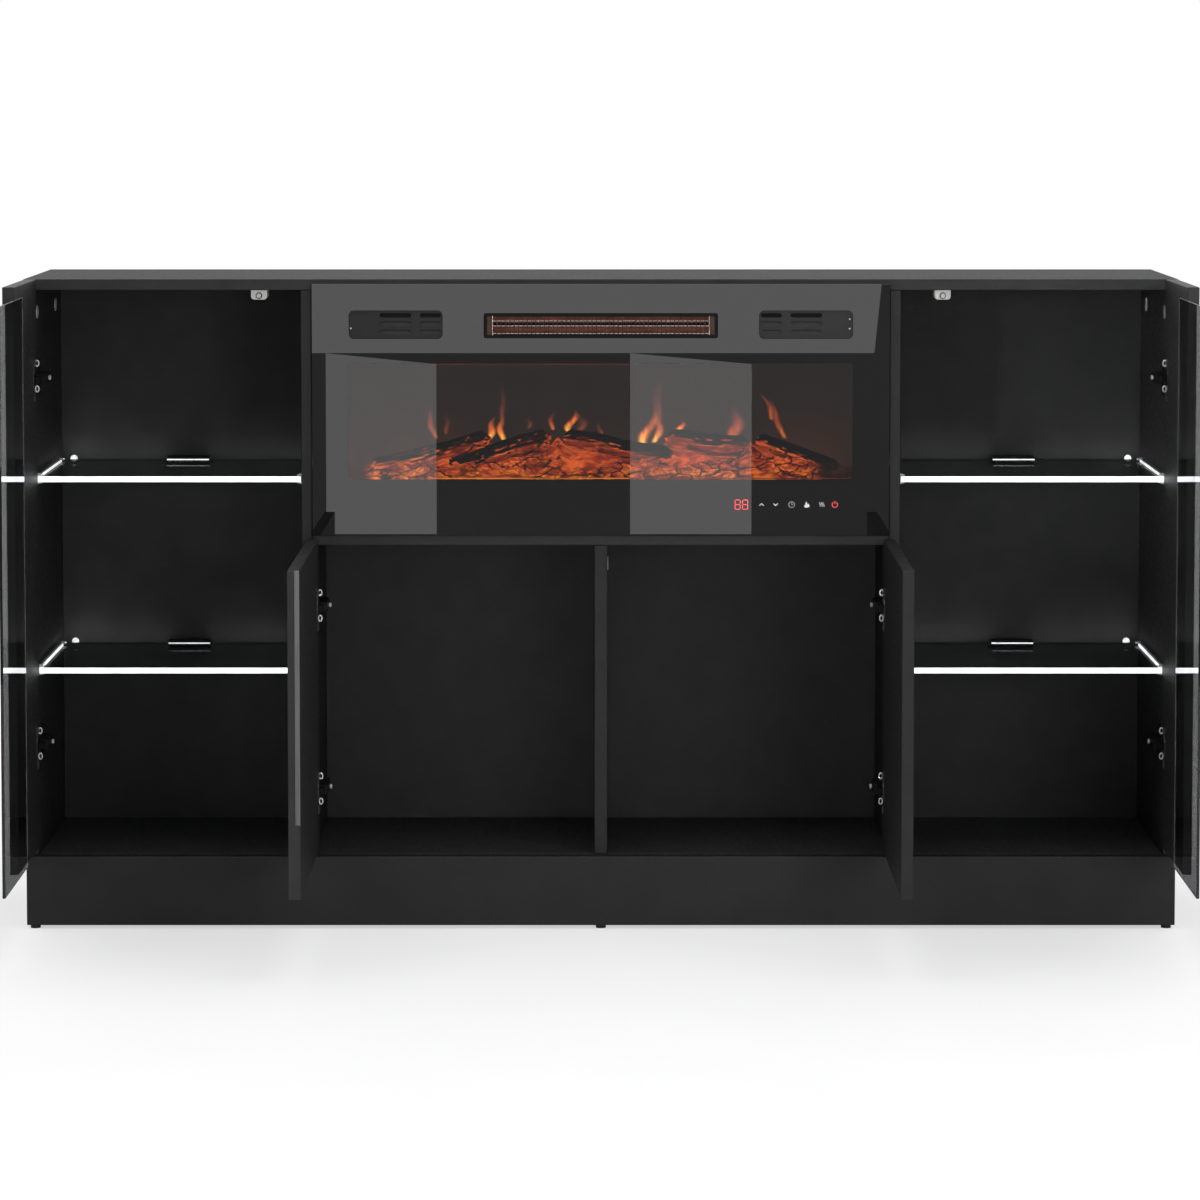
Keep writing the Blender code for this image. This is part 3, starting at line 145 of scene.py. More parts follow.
class Recipe:
    """A procedural material in the making, with short calls for the nodes it needs."""

    def __init__(self, name: str) -> None:
        """Start a material that has its shader and output.

        Args:
            name: The material's name.
        """
        self.material = bpy.data.materials.new(name)
        self.material.use_nodes = True
        self.tree = self.material.node_tree
        self.shader = self.tree.nodes["Principled BSDF"]
        self.output = self.tree.nodes["Material Output"]

    def feed(self, socket: bpy.types.NodeSocket, value: object) -> None:
        """Link or set an input.

        Args:
            socket: The input.
            value: Another node's output, or a plain value.
        """
        if isinstance(value, bpy.types.NodeSocket):
            self.tree.links.new(value, socket)
        elif isinstance(value, tuple) and len(value) == 3 and socket.type == "RGBA":
            socket.default_value = (*value, 1.0)
        else:
            socket.default_value = value

    def node(self, kind: str, inputs: dict, **settings: object) -> bpy.types.Node:
        """Add a node.

        Args:
            kind: The node's type, without its leading ShaderNode.
            inputs: What each input gets, by name or number.
            **settings: The node's own settings.

        Returns:
            The node.
        """
        made = self.tree.nodes.new(f"ShaderNode{kind}")
        for key, value in settings.items():
            setattr(made, key, value)
        for key, value in inputs.items():
            self.feed(made.inputs[key], value)
        return made

    def place(self, stretch: Point = (1.0, 1.0, 1.0)) -> bpy.types.NodeSocket:
        """The place on the piece, stretched along its axes.

        Args:
            stretch: The scale along each axis.

        Returns:
            The place as a vector output.
        """
        source = self.node("TexCoord", {}).outputs["Object"]
        return self.node("Mapping", {"Vector": source, "Scale": stretch}).outputs["Vector"]

    def noise(
        self, place: bpy.types.NodeSocket, scale: float, detail: float, twist: float = 0.0
    ) -> bpy.types.NodeSocket:
        """A cloud pattern.

        Args:
            place: Where it is read.
            scale: How many clouds go in a metre.
            detail: How many finer layers it has.
            twist: How far it is pulled about.

        Returns:
            The pattern as a value output.
        """
        inputs = {"Vector": place, "Scale": scale, "Detail": detail, "Distortion": twist}
        return self.node("TexNoise", inputs).outputs["Fac"]

    def cells(self, place: bpy.types.NodeSocket, scale: float) -> bpy.types.NodeSocket:
        """The distance from the edges of a broken pattern.

        Args:
            place: Where it is read.
            scale: How many cells go in a metre.

        Returns:
            The distance as a value output.
        """
        inputs = {"Vector": place, "Scale": scale}
        made = self.node("TexVoronoi", inputs, feature="DISTANCE_TO_EDGE")
        return made.outputs["Distance"]

    def ramp(
        self, value: bpy.types.NodeSocket, stops: Sequence[tuple[float, Colour]]
    ) -> bpy.types.NodeSocket:
        """Colours along a value.

        Args:
            value: The value.
            stops: Each place from 0 to 1 with its colour.

        Returns:
            The colour output.
        """
        made = self.node("ValToRGB", {"Fac": value})
        bar = made.color_ramp.elements
        while len(bar) < len(stops):
            bar.new(0.5)
        for element, (where, colour) in zip(bar, stops):
            element.position = where
            element.color = (*colour, 1.0)
        return made.outputs["Color"]

    def shades(
        self, value: bpy.types.NodeSocket, first: Colour, second: Colour, ends: Pair = CLOUD_RANGE
    ) -> bpy.types.NodeSocket:
        """A colour that goes to another along a value.

        Args:
            value: The value.
            first: The colour at the lower end.
            second: The colour at the upper end.
            ends: The values at the two ends.

        Returns:
            The colour output.
        """
        return self.ramp(value, ((ends[0], first), (ends[1], second)))

    def span(
        self, value: bpy.types.NodeSocket, start: Pair, end: Pair = (0.0, 1.0)
    ) -> bpy.types.NodeSocket:
        """A value moved from one range to another, held at its ends.

        Args:
            value: The value.
            start: The range it comes from.
            end: The range it goes to.

        Returns:
            The value output.
        """
        inputs = {"Value": value, 1: start[0], 2: start[1], 3: end[0], 4: end[1]}
        return self.node("MapRange", inputs, interpolation_type="SMOOTHSTEP").outputs["Result"]

    def math(self, operation: str, first: object, second: object = 0.0) -> bpy.types.NodeSocket:
        """Two values put together, or one value changed.

        Args:
            operation: The name of the operation, such as MULTIPLY.
            first: A value or an output.
            second: A value or an output, which some operations leave unused.

        Returns:
            The value output.
        """
        return self.node("Math", {0: first, 1: second}, operation=operation).outputs["Value"]

    def mix(self, share: object, first: object, second: object) -> bpy.types.NodeSocket:
        """Two colours mixed.

        Args:
            share: How much there is of the second.
            first: The first colour.
            second: The second colour.

        Returns:
            The colour output.
        """
        made = self.node("Mix", {0: share, 6: first, 7: second}, data_type="RGBA")
        return made.outputs[2]

    def bump(self, height: bpy.types.NodeSocket, depth: float) -> bpy.types.NodeSocket:
        """A relief.

        Args:
            height: The height, from 0 to 1.
            depth: How deep it goes, in metres.

        Returns:
            The normal output.
        """
        inputs = {"Height": height, "Distance": depth, "Strength": 1.0}
        return self.node("Bump", inputs).outputs["Normal"]

    def axis(self, source: bpy.types.NodeSocket, name: str) -> bpy.types.NodeSocket:
        """One axis of a vector output."""
        return self.node("SeparateXYZ", {0: source}).outputs[name]

    def geometry(self, name: str) -> bpy.types.NodeSocket:
        """An output of the surface's own geometry, such as its Normal."""
        return self.node("NewGeometry", {}).outputs[name]

    def finish(self, **inputs: object) -> bpy.types.Material:
        """Set the shader's inputs, with an underscore for each space in a name.

        Args:
            **inputs: What each input gets.

        Returns:
            The finished material.
        """
        for key, value in inputs.items():
            self.feed(self.shader.inputs[key.replace("_", " ")], value)
        return self.material


class Finish(Protocol):
    """Anything that makes a material of its own."""

    def build(self) -> bpy.types.Material:
        """Make the material."""


@lru_cache(maxsize=None)
def material(finish: Finish) -> bpy.types.Material:
    """The material of a finish, made once."""
    return finish.build()


@dataclass(frozen=True)
class Surface:
    """A hard finish: two shades and two roughnesses that wander, and a fine relief."""

    name: str
    dark: Colour
    light: Colour
    roughness: Pair
    grain: float
    relief: float
    stretch: Point = (1.0, 1.0, 1.0)
    metallic: float = 0.0
    specular: float = 0.5
    anisotropy: float = 0.0
    broad_grain: float = 12.0
    broad_share: float = 0.6

    def build(self) -> bpy.types.Material:
        """Make the material."""
        recipe = Recipe(self.name)
        place = recipe.place(self.stretch)
        broad = recipe.noise(place, self.grain / self.broad_grain, detail=3.0)
        fine = recipe.noise(place, self.grain, detail=8.0)
        weighed = recipe.math("MULTIPLY", broad, self.broad_share)
        both = recipe.math("ADD", weighed, recipe.math("MULTIPLY", fine, 1.0 - self.broad_share))
        return recipe.finish(
            Base_Color=recipe.shades(both, self.dark, self.light, MIXED_RANGE),
            Roughness=recipe.span(fine, CLOUD_RANGE, self.roughness),
            Metallic=self.metallic,
            Specular_IOR_Level=self.specular,
            Anisotropic=self.anisotropy,
            Normal=recipe.bump(fine, self.relief),
        )


@dataclass(frozen=True)
class GlassFinish:
    """A clear or tinted glass, with a trace of waviness and of finger marks."""

    name: str
    tint: Colour
    marked_tint: Colour
    roughness: Pair = (0.0, 0.003)
    refraction: float = 1.45
    waviness: float = 0.0000005
    mark_scale: float = 14.0
    mark_range: Pair = (0.3, 0.8)
    smear_range: Pair = (0.45, 0.8)
    wave_scale: float = 5.0

    def build(self) -> bpy.types.Material:
        """Make the material."""
        recipe = Recipe(self.name)
        place = recipe.place()
        marks = recipe.noise(place, self.mark_scale, detail=6.0, twist=0.6)
        waves = recipe.noise(place, self.wave_scale, detail=1.0)
        return recipe.finish(
            Base_Color=recipe.shades(marks, self.tint, self.marked_tint, self.mark_range),
            Roughness=recipe.span(marks, self.smear_range, self.roughness),
            Transmission_Weight=1.0,
            IOR=self.refraction,
            Normal=recipe.bump(waves, self.waviness),
        )


@dataclass(frozen=True)
class LightFinish:
    """A surface that shines, a little stronger in some places than in others."""

    name: str
    colour: Colour
    strength: Pair
    grain: float
    roughness: Pair = (0.25, 0.45)
    dimming: float = 0.8
    relief: float = 0.00005

    def build(self) -> bpy.types.Material:
        """Make the material."""
        recipe = Recipe(self.name)
        cloud = recipe.noise(recipe.place(), self.grain, detail=3.0)
        dim = tuple(part * self.dimming for part in self.colour)
        return recipe.finish(
            Base_Color=self.colour,
            Roughness=recipe.span(cloud, CLOUD_RANGE, self.roughness),
            Emission_Color=recipe.shades(cloud, dim, self.colour),
            Emission_Strength=recipe.span(cloud, MIXED_RANGE, self.strength),
            Normal=recipe.bump(cloud, self.relief),
        )


@dataclass(frozen=True)
class GrilleFinish:
    """Browned bars inside a black rim."""

    level: float
    half_width: float
    half_height: float
    name: str = "browned_grille_in_black_rim"
    brown: tuple[Colour, Colour] = ((0.040, 0.022, 0.017), (0.080, 0.046, 0.036))
    black: tuple[Colour, Colour] = ((0.004, 0.004, 0.004), (0.008, 0.008, 0.008))
    roughness: Pair = (0.30, 0.45)
    metallic: float = 0.3
    specular: float = 0.06
    grain: float = 500.0
    relief: float = 0.00004

    def build(self) -> bpy.types.Material:
        """Make the material."""
        recipe = Recipe(self.name)
        place = recipe.node("TexCoord", {}).outputs["Object"]
        across = recipe.math("ABSOLUTE", recipe.axis(place, "X"))
        up = recipe.math("ABSOLUTE", recipe.math("SUBTRACT", recipe.axis(place, "Z"), self.level))
        rim = recipe.math(
            "MAXIMUM",
            recipe.math("GREATER_THAN", across, self.half_width),
            recipe.math("GREATER_THAN", up, self.half_height),
        )
        fine = recipe.noise(recipe.place(), self.grain, detail=6.0)
        return recipe.finish(
            Base_Color=recipe.mix(rim, recipe.shades(fine, *self.brown), recipe.shades(fine, *self.black)),
            Roughness=recipe.span(fine, CLOUD_RANGE, self.roughness),
            Metallic=recipe.span(rim, (0.0, 1.0), (self.metallic, 0.0)),
            Specular_IOR_Level=self.specular,
            Normal=recipe.bump(fine, self.relief),
        )


@dataclass(frozen=True)
class ElementFinish:
    """A heating rod whose coil shows as close bands through its quartz tube."""

    name: str = "heating_rod"
    bands: float = 420.0
    band_wander: float = 0.4
    grain: float = 60.0
    cool: Colour = (0.05, 0.012, 0.009)
    hot: Colour = (0.22, 0.075, 0.055)
    hot_range: Pair = (0.2, 0.8)
    roughness: Pair = (0.3, 0.5)
    strength: Pair = (0.25, 0.5)
    relief: float = 0.0003

    def build(self) -> bpy.types.Material:
        """Make the material."""
        recipe = Recipe(self.name)
        inputs = {"Vector": recipe.place(), "Scale": self.bands, "Distortion": self.band_wander}
        coil = recipe.node("TexWave", inputs, bands_direction="X").outputs["Fac"]
        cloud = recipe.noise(recipe.place(), self.grain, detail=4.0)
        heat = recipe.shades(coil, self.cool, self.hot, self.hot_range)
        return recipe.finish(
            Base_Color=heat,
            Roughness=recipe.span(cloud, CLOUD_RANGE, self.roughness),
            Emission_Color=heat,
            Emission_Strength=recipe.span(cloud, CLOUD_RANGE, self.strength),
            Normal=recipe.bump(coil, self.relief),
        )


@dataclass(frozen=True)
class EmberFinish:
    """Moulded bark or coals, dark above and lit from below, with dark cracks across the lit part."""

    name: str
    stretch: Point
    crack_scale: float
    crack_width: float
    char_from: Pair
    glow_levels: Pair
    low_colour: Colour
    high_colour: Colour
    deep_colour: Colour
    strength: float
    fade_from: Pair = (0.298, 0.326)
    fade_middle: float = -0.0125
    end_glow: float = 0.06
    wander_scale: float = 0.7
    wander_reach: float = 0.022
    fine_scale: float = 2.4
    fine_width: float = 1.6
    fine_floor: float = 0.35
    whole_scale: float = 0.28
    whole_from: Pair = (0.50, 0.62)
    whole_share: float = 0.85
    mottle_from: Pair = (0.30, 0.60)
    mottle_floor: float = 0.45
    raggedness: float = 0.5
    deep_from: Pair = (0.38, 0.62)
    char: tuple[Colour, Colour] = ((0.002, 0.002, 0.002), (0.006, 0.005, 0.004))
    roughness: Pair = (0.65, 0.95)
    relief: float = 0.0010

    def cracks(self, recipe: Recipe, place: bpy.types.NodeSocket) -> bpy.types.NodeSocket:
        """The dark cracks, wide ones and fine ones between them.

        Args:
            recipe: The material in the making.
            place: The place on the piece.

        Returns:
            0 in a crack and 1 between cracks.
        """
        inputs = {"Vector": place, "Scale": self.crack_scale * self.wander_scale, "Detail": 3.0}
        wander = recipe.node("TexNoise", inputs).outputs["Color"]
        pull = recipe.node("VectorMath", {0: wander, "Scale": self.wander_reach}, operation="SCALE")
        bent = recipe.node("VectorMath", {0: place, 1: pull.outputs[0]}, operation="ADD").outputs[0]
        wide = recipe.span(recipe.cells(bent, self.crack_scale), (0.0, self.crack_width))
        between = recipe.cells(bent, self.crack_scale * self.fine_scale)
        fine = recipe.span(between, (0.0, self.crack_width * self.fine_width), (self.fine_floor, 1.0))
        return recipe.math("MULTIPLY", wide, fine)

    def build(self) -> bpy.types.Material:
        """Make the material."""
        recipe = Recipe(self.name)
        place = recipe.place(self.stretch)
        broad = recipe.noise(place, self.crack_scale * self.whole_scale, detail=2.0, twist=0.4)
        cloud = recipe.noise(place, self.crack_scale, detail=8.0, twist=0.8)
        cracks = self.cracks(recipe, place)
        whole = recipe.span(broad, self.whole_from)
        patchy = recipe.math("MAXIMUM", cracks, recipe.math("MULTIPLY", whole, self.whole_share))
        mottle = recipe.span(cloud, self.mottle_from, (self.mottle_floor, 1.0))
        # The glow is painted light from below: it gives way to painted shade on faces that look up, and fades
        # towards the ends of the fire
        upward = recipe.axis(recipe.geometry("Normal"), "Z")
        ragged = recipe.math("ADD", upward, recipe.math("MULTIPLY", cloud, self.raggedness))
        lit = recipe.span(ragged, self.char_from, (1.0, 0.0))
        where = recipe.geometry("Position")
        aside = recipe.math("SUBTRACT", recipe.axis(where, "X"), self.fade_middle)
        ends = recipe.span(recipe.math("ABSOLUTE", aside), self.fade_from, (1.0, self.end_glow))
        level = recipe.axis(where, "Z")
        spread = recipe.math("MULTIPLY", lit, patchy)
        glow = recipe.math("MULTIPLY", spread, recipe.math("MULTIPLY", mottle, ends))
        colour = recipe.mix(recipe.span(level, self.glow_levels), self.low_colour, self.high_colour)
        heat = recipe.mix(recipe.span(cloud, self.deep_from), self.deep_colour, colour)
        return recipe.finish(
            Base_Color=recipe.shades(cloud, *self.char),
            Roughness=recipe.span(cloud, CLOUD_RANGE, self.roughness),
            Specular_IOR_Level=0.0,
            Emission_Color=heat,
            Emission_Strength=recipe.math("MULTIPLY", glow, self.strength),
            Normal=recipe.bump(recipe.math("ADD", cloud, cracks), self.relief),
        )


@dataclass(frozen=True)
class FlameFinish:
    """A tongue of projected light, bright at its foot and fading to its tip and sides."""

    name: str
    foot: Colour
    tip: Colour
    strength: float
    tip_from: float = 0.45
    half_width: float = 0.46
    fade_from: float = 0.1
    root: float = 0.06
    root_share: float = 0.2
    wisp_scale: float = 160.0
    wisp_stretch: Point = (1.0, 1.0, 0.25)
    wisp_share: Pair = (0.40, 0.90)
    roughness: Pair = (0.9, 1.0)

    def build(self) -> bpy.types.Material:
        """Make the material."""
        recipe = Recipe(self.name)
        place = recipe.node("TexCoord", {}).outputs["UV"]
        across = recipe.axis(place, "X")
        along = recipe.axis(place, "Y")
        side = recipe.math("ABSOLUTE", recipe.math("SUBTRACT", across, 0.5))
        wisps = recipe.noise(recipe.place(self.wisp_stretch), self.wisp_scale, detail=3.0, twist=0.5)
        soft = recipe.span(side, (0.0, self.half_width), (1.0, 0.0))
        fade = recipe.span(along, (self.fade_from, 1.0), (1.0, 0.0))
        root = recipe.span(along, (0.0, self.root), (self.root_share, 1.0))
        wispy = recipe.span(wisps, CLOUD_RANGE, self.wisp_share)
        share = recipe.math("MULTIPLY", recipe.math("MULTIPLY", soft, fade), wispy)
        return recipe.finish(
            Base_Color=BLACK,
            Specular_IOR_Level=0.0,
            Roughness=recipe.span(wisps, (0.0, 1.0), self.roughness),
            Alpha=recipe.math("MULTIPLY", share, root),
            Emission_Color=recipe.shades(along, self.foot, self.tip, (0.0, self.tip_from)),
            Emission_Strength=self.strength,
        )


@dataclass(frozen=True)
class ScreenFinish:
    """The frosted flame screen, with painted light on it: a faint warm glow near the logs and a grey glow
    above them.
    """

    name: str = "flame_screen_haze"
    low: float = 0.640
    high: float = 0.760
    high_share: float = 0.15
    haze_scale: float = 12.0
    stretch: Point = (1.0, 1.0, 0.4)
    haze: tuple[tuple[float, Colour], ...] = (
        (0.05, (0.083, 0.066, 0.059)), (0.35, (0.120, 0.070, 0.058)), (0.75, (0.24, 0.085, 0.055)),
    )
    dark: tuple[Colour, Colour] = ((0.002, 0.002, 0.002), (0.004, 0.004, 0.004))
    roughness: Pair = (0.6, 0.8)
    relief: float = 0.0001

    def build(self) -> bpy.types.Material:
        """Make the material."""
        recipe = Recipe(self.name)
        cloud = recipe.noise(recipe.place(self.stretch), self.haze_scale, detail=3.0, twist=0.4)
        level = recipe.axis(recipe.geometry("Position"), "Z")
        near = recipe.span(level, (self.low, self.high), (1.0, self.high_share))
        return recipe.finish(
            Base_Color=recipe.shades(cloud, *self.dark),
            Roughness=recipe.span(cloud, CLOUD_RANGE, self.roughness),
            Specular_IOR_Level=0.0,
            # The emission is painted light falling on the screen
            Emission_Color=recipe.ramp(recipe.math("MULTIPLY", near, cloud), self.haze),
            Emission_Strength=1.0,
            Normal=recipe.bump(cloud, self.relief),
        )


BLACK_BOARD = Surface(
    "satin_black_board", dark=(0.0095, 0.0095, 0.0098), light=(0.0155, 0.0155, 0.016),
    roughness=(0.42, 0.56), grain=240.0, relief=0.00004, specular=0.25,
)
# The top board: a lighter copy of the satin black board, as painted light on its top and front
TOP_BOARD_PAINTED_LIGHTER = Surface(
    "satin_black_top", dark=(0.0180, 0.0180, 0.0183), light=(0.0270, 0.0270, 0.0274),
    roughness=(0.55, 0.70), grain=240.0, relief=0.00005, specular=0.17,
)
# The side boards and the doors: a lighter copy of the satin black board, as painted light
DOOR_BOARD_PAINTED_LIGHTER = Surface(
    "satin_black_door", dark=(0.0115, 0.0115, 0.0118), light=(0.0180, 0.0180, 0.0185),
    roughness=(0.42, 0.56), grain=240.0, relief=0.00004, specular=0.25,
)
# The bottom board: a lighter copy of the satin black board, as painted light
BOTTOM_BOARD_PAINTED_LIGHTER = Surface(
    "satin_black_bottom", dark=(0.0165, 0.0165, 0.0168), light=(0.0240, 0.0240, 0.0244),
    roughness=(0.42, 0.56), grain=240.0, relief=0.00004, specular=0.25,
)
# The plinths, the dividers and the right low door: a darker copy of the satin black board, as painted shade
PLINTH_BOARD_PAINTED_DARKER = Surface(
    "satin_black_plinth", dark=(0.0070, 0.0070, 0.0072), light=(0.0115, 0.0115, 0.0118),
    roughness=(0.42, 0.56), grain=240.0, relief=0.00004, specular=0.22,
)
# The back panel: a lighter copy of the black board, as painted light in the dim compartments
BACK_BOARD_PAINTED_LIGHTER = Surface(
    "black_back_board", dark=(0.0115, 0.0115, 0.0117), light=(0.0175, 0.0175, 0.0178),
    roughness=(0.55, 0.70), grain=300.0, relief=0.00005, specular=0.22,
)
PRINTED_GLASS = Surface(
    "black_printed_glass", dark=(0.0024, 0.0024, 0.0026), light=(0.0040, 0.0040, 0.0043),
    roughness=(0.0, 0.003), grain=40.0, relief=0.0000002,
)
VENT_PLASTIC = Surface(
    "satin_black_vent", dark=(0.013, 0.013, 0.013), light=(0.019, 0.019, 0.019), roughness=(0.35, 0.45),
    grain=120.0, relief=0.000005, specular=0.15,
)
GREY_LOUVRE = Surface(
    "grey_louvre", dark=(0.022, 0.022, 0.022), light=(0.030, 0.030, 0.030), roughness=(0.35, 0.45),
    grain=120.0, relief=0.000005, specular=0.25,
)
# Near black for the top row of louvre blades and the ring round each vent screw: painted shade
PAINTED_SHADE_BLACK = Surface(
    "dark_louvre", dark=(0.003, 0.003, 0.003), light=(0.006, 0.006, 0.006), roughness=(0.45, 0.60),
    grain=260.0, relief=0.00001, specular=0.1,
)
BLACK_STEEL = Surface(
    "powder_coated_steel", dark=(0.008, 0.008, 0.008), light=(0.016, 0.016, 0.016),
    roughness=(0.45, 0.62), grain=900.0, relief=0.00006, specular=0.4,
)
GALVANISED = Surface(
    "bright_sheet_steel", dark=(0.30, 0.31, 0.32), light=(0.44, 0.45, 0.46), roughness=(0.30, 0.45),
    grain=60.0, relief=0.00003, metallic=1.0,
)
# Nickel made dark for the hinge cups: painted shade, for the dark inside that the nickel mirrors
NICKEL_PAINTED_DARK = Surface(
    "dark_nickel_steel", dark=(0.055, 0.055, 0.057), light=(0.10, 0.10, 0.103), roughness=(0.25, 0.40),
    grain=500.0, relief=0.00004, metallic=1.0,
)
# Black for the hinge arms: painted shade, for the dark inside that their nickel mirrors
HINGE_STEEL_PAINTED_BLACK = Surface(
    "black_hinge_steel", dark=(0.004, 0.004, 0.004), light=(0.008, 0.008, 0.008),
    roughness=(0.45, 0.60), grain=500.0, relief=0.00004, specular=0.08,
)
NICKEL_WIRE = Surface(
    "nickel_wire", dark=(0.42, 0.41, 0.40), light=(0.56, 0.55, 0.54), roughness=(0.20, 0.32),
    grain=500.0, relief=0.00001, metallic=1.0,
)
BRIGHT_ZINC = Surface(
    "bright_zinc_steel", dark=(0.50, 0.50, 0.49), light=(0.66, 0.66, 0.65), roughness=(0.30, 0.42),
    grain=500.0, relief=0.00002, metallic=0.35,
)
ALUMINIUM = Surface(
    "brushed_aluminium", dark=(0.095, 0.095, 0.098), light=(0.135, 0.135, 0.138),
    roughness=(0.34, 0.46), grain=900.0, relief=0.00003, stretch=(1.0, 1.0, 0.02), metallic=1.0,
    anisotropy=0.4,
)
WHITE_PLASTIC = Surface(
    "white_moulded_plastic", dark=(0.33, 0.33, 0.32), light=(0.40, 0.40, 0.39), roughness=(0.32, 0.45),
    grain=400.0, relief=0.00003,
)
BRIGHT_PLASTIC = Surface(
    "bright_moulded_plastic", dark=(0.72, 0.72, 0.71), light=(0.82, 0.82, 0.81), roughness=(0.32, 0.45),
    grain=400.0, relief=0.00003,
)
CLIP_PLASTIC = Surface(
    "milky_clip_plastic", dark=(0.30, 0.32, 0.32), light=(0.40, 0.42, 0.42), roughness=(0.25, 0.40),
    grain=400.0, relief=0.00003,
)
CAP_PLASTIC = Surface(
    "grey_cap_plastic", dark=(0.20, 0.20, 0.203), light=(0.30, 0.30, 0.303), roughness=(0.35, 0.50),
    grain=500.0, relief=0.00003,
)
DARK_PLASTIC = Surface(
    "dark_moulded_plastic", dark=(0.010, 0.010, 0.011), light=(0.020, 0.020, 0.021),
    roughness=(0.35, 0.50), grain=500.0, relief=0.00003,
)
# Near black for the shelves' rear edges: painted shade
REAR_EDGE_PAINTED_SHADE = Surface(
    "ground_glass_edge", dark=(0.006, 0.008, 0.008), light=(0.012, 0.015, 0.014),
    roughness=(0.45, 0.60), grain=300.0, relief=0.00003, specular=0.2,
)
LAMP_BODY = Surface(
    "black_lamp_body", dark=(0.006, 0.006, 0.007), light=(0.010, 0.010, 0.011), roughness=(0.50, 0.65),
    grain=400.0, relief=0.00003, specular=0.1,
)
CIRCUIT = Surface(
    "circuit_board", dark=(0.008, 0.045, 0.018), light=(0.016, 0.075, 0.030), roughness=(0.35, 0.55),
    grain=260.0, relief=0.00006,
)
CLEAR_GLASS = GlassFinish(
    "clear_shelf_glass", tint=(0.93, 0.96, 0.955), marked_tint=(0.95, 0.98, 0.975), refraction=1.012,
)
SMOKED_GLASS = GlassFinish(
    "smoked_door_glass", tint=(0.400, 0.405, 0.415), marked_tint=(0.425, 0.430, 0.440),
)
WINDOW_GLASS = GlassFinish(
    "tinted_window_glass", tint=(0.150, 0.150, 0.150), marked_tint=(0.156, 0.156, 0.156),
)
LIT_EDGE = LightFinish("lit_glass_edge", colour=(0.95, 0.98, 1.0), strength=(1.15, 1.45), grain=30.0)
LAMP_LENS = LightFinish("lamp_lens", colour=(0.95, 0.98, 1.0), strength=(1.2, 1.8), grain=90.0)
WINDOW_LINE = LightFinish("lit_window_line", colour=(0.90, 0.24, 0.02), strength=(3.2, 5.2), grain=14.0)
UPPER_LINE = LightFinish(
    "dim_window_line", colour=(0.42, 0.045, 0.025), strength=(0.9, 1.8), grain=14.0,
)
RED_MARK = LightFinish("red_display", colour=(0.95, 0.07, 0.06), strength=(0.8, 1.0), grain=400.0)
WHITE_MARK = LightFinish(
    "pale_touch_marks", colour=(0.50, 0.50, 0.50), strength=(0.45, 0.65), grain=300.0,
)


def turns(sides: int) -> list[float]:
    """The angles of the points of a ring with so many sides."""
    return [2 * math.pi * side / sides for side in range(sides)]


def inner_face(side: Side, node: str) -> float:
    """The X of a node's face towards the middle of the cabinet."""
    low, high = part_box(node)
    return low[0] if side is Side.RIGHT else high[0]


def outer_face(side: Side, node: str) -> float:
    """The X of a node's face away from the middle of the cabinet."""
    low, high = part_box(node)
    return high[0] if side is Side.RIGHT else low[0]


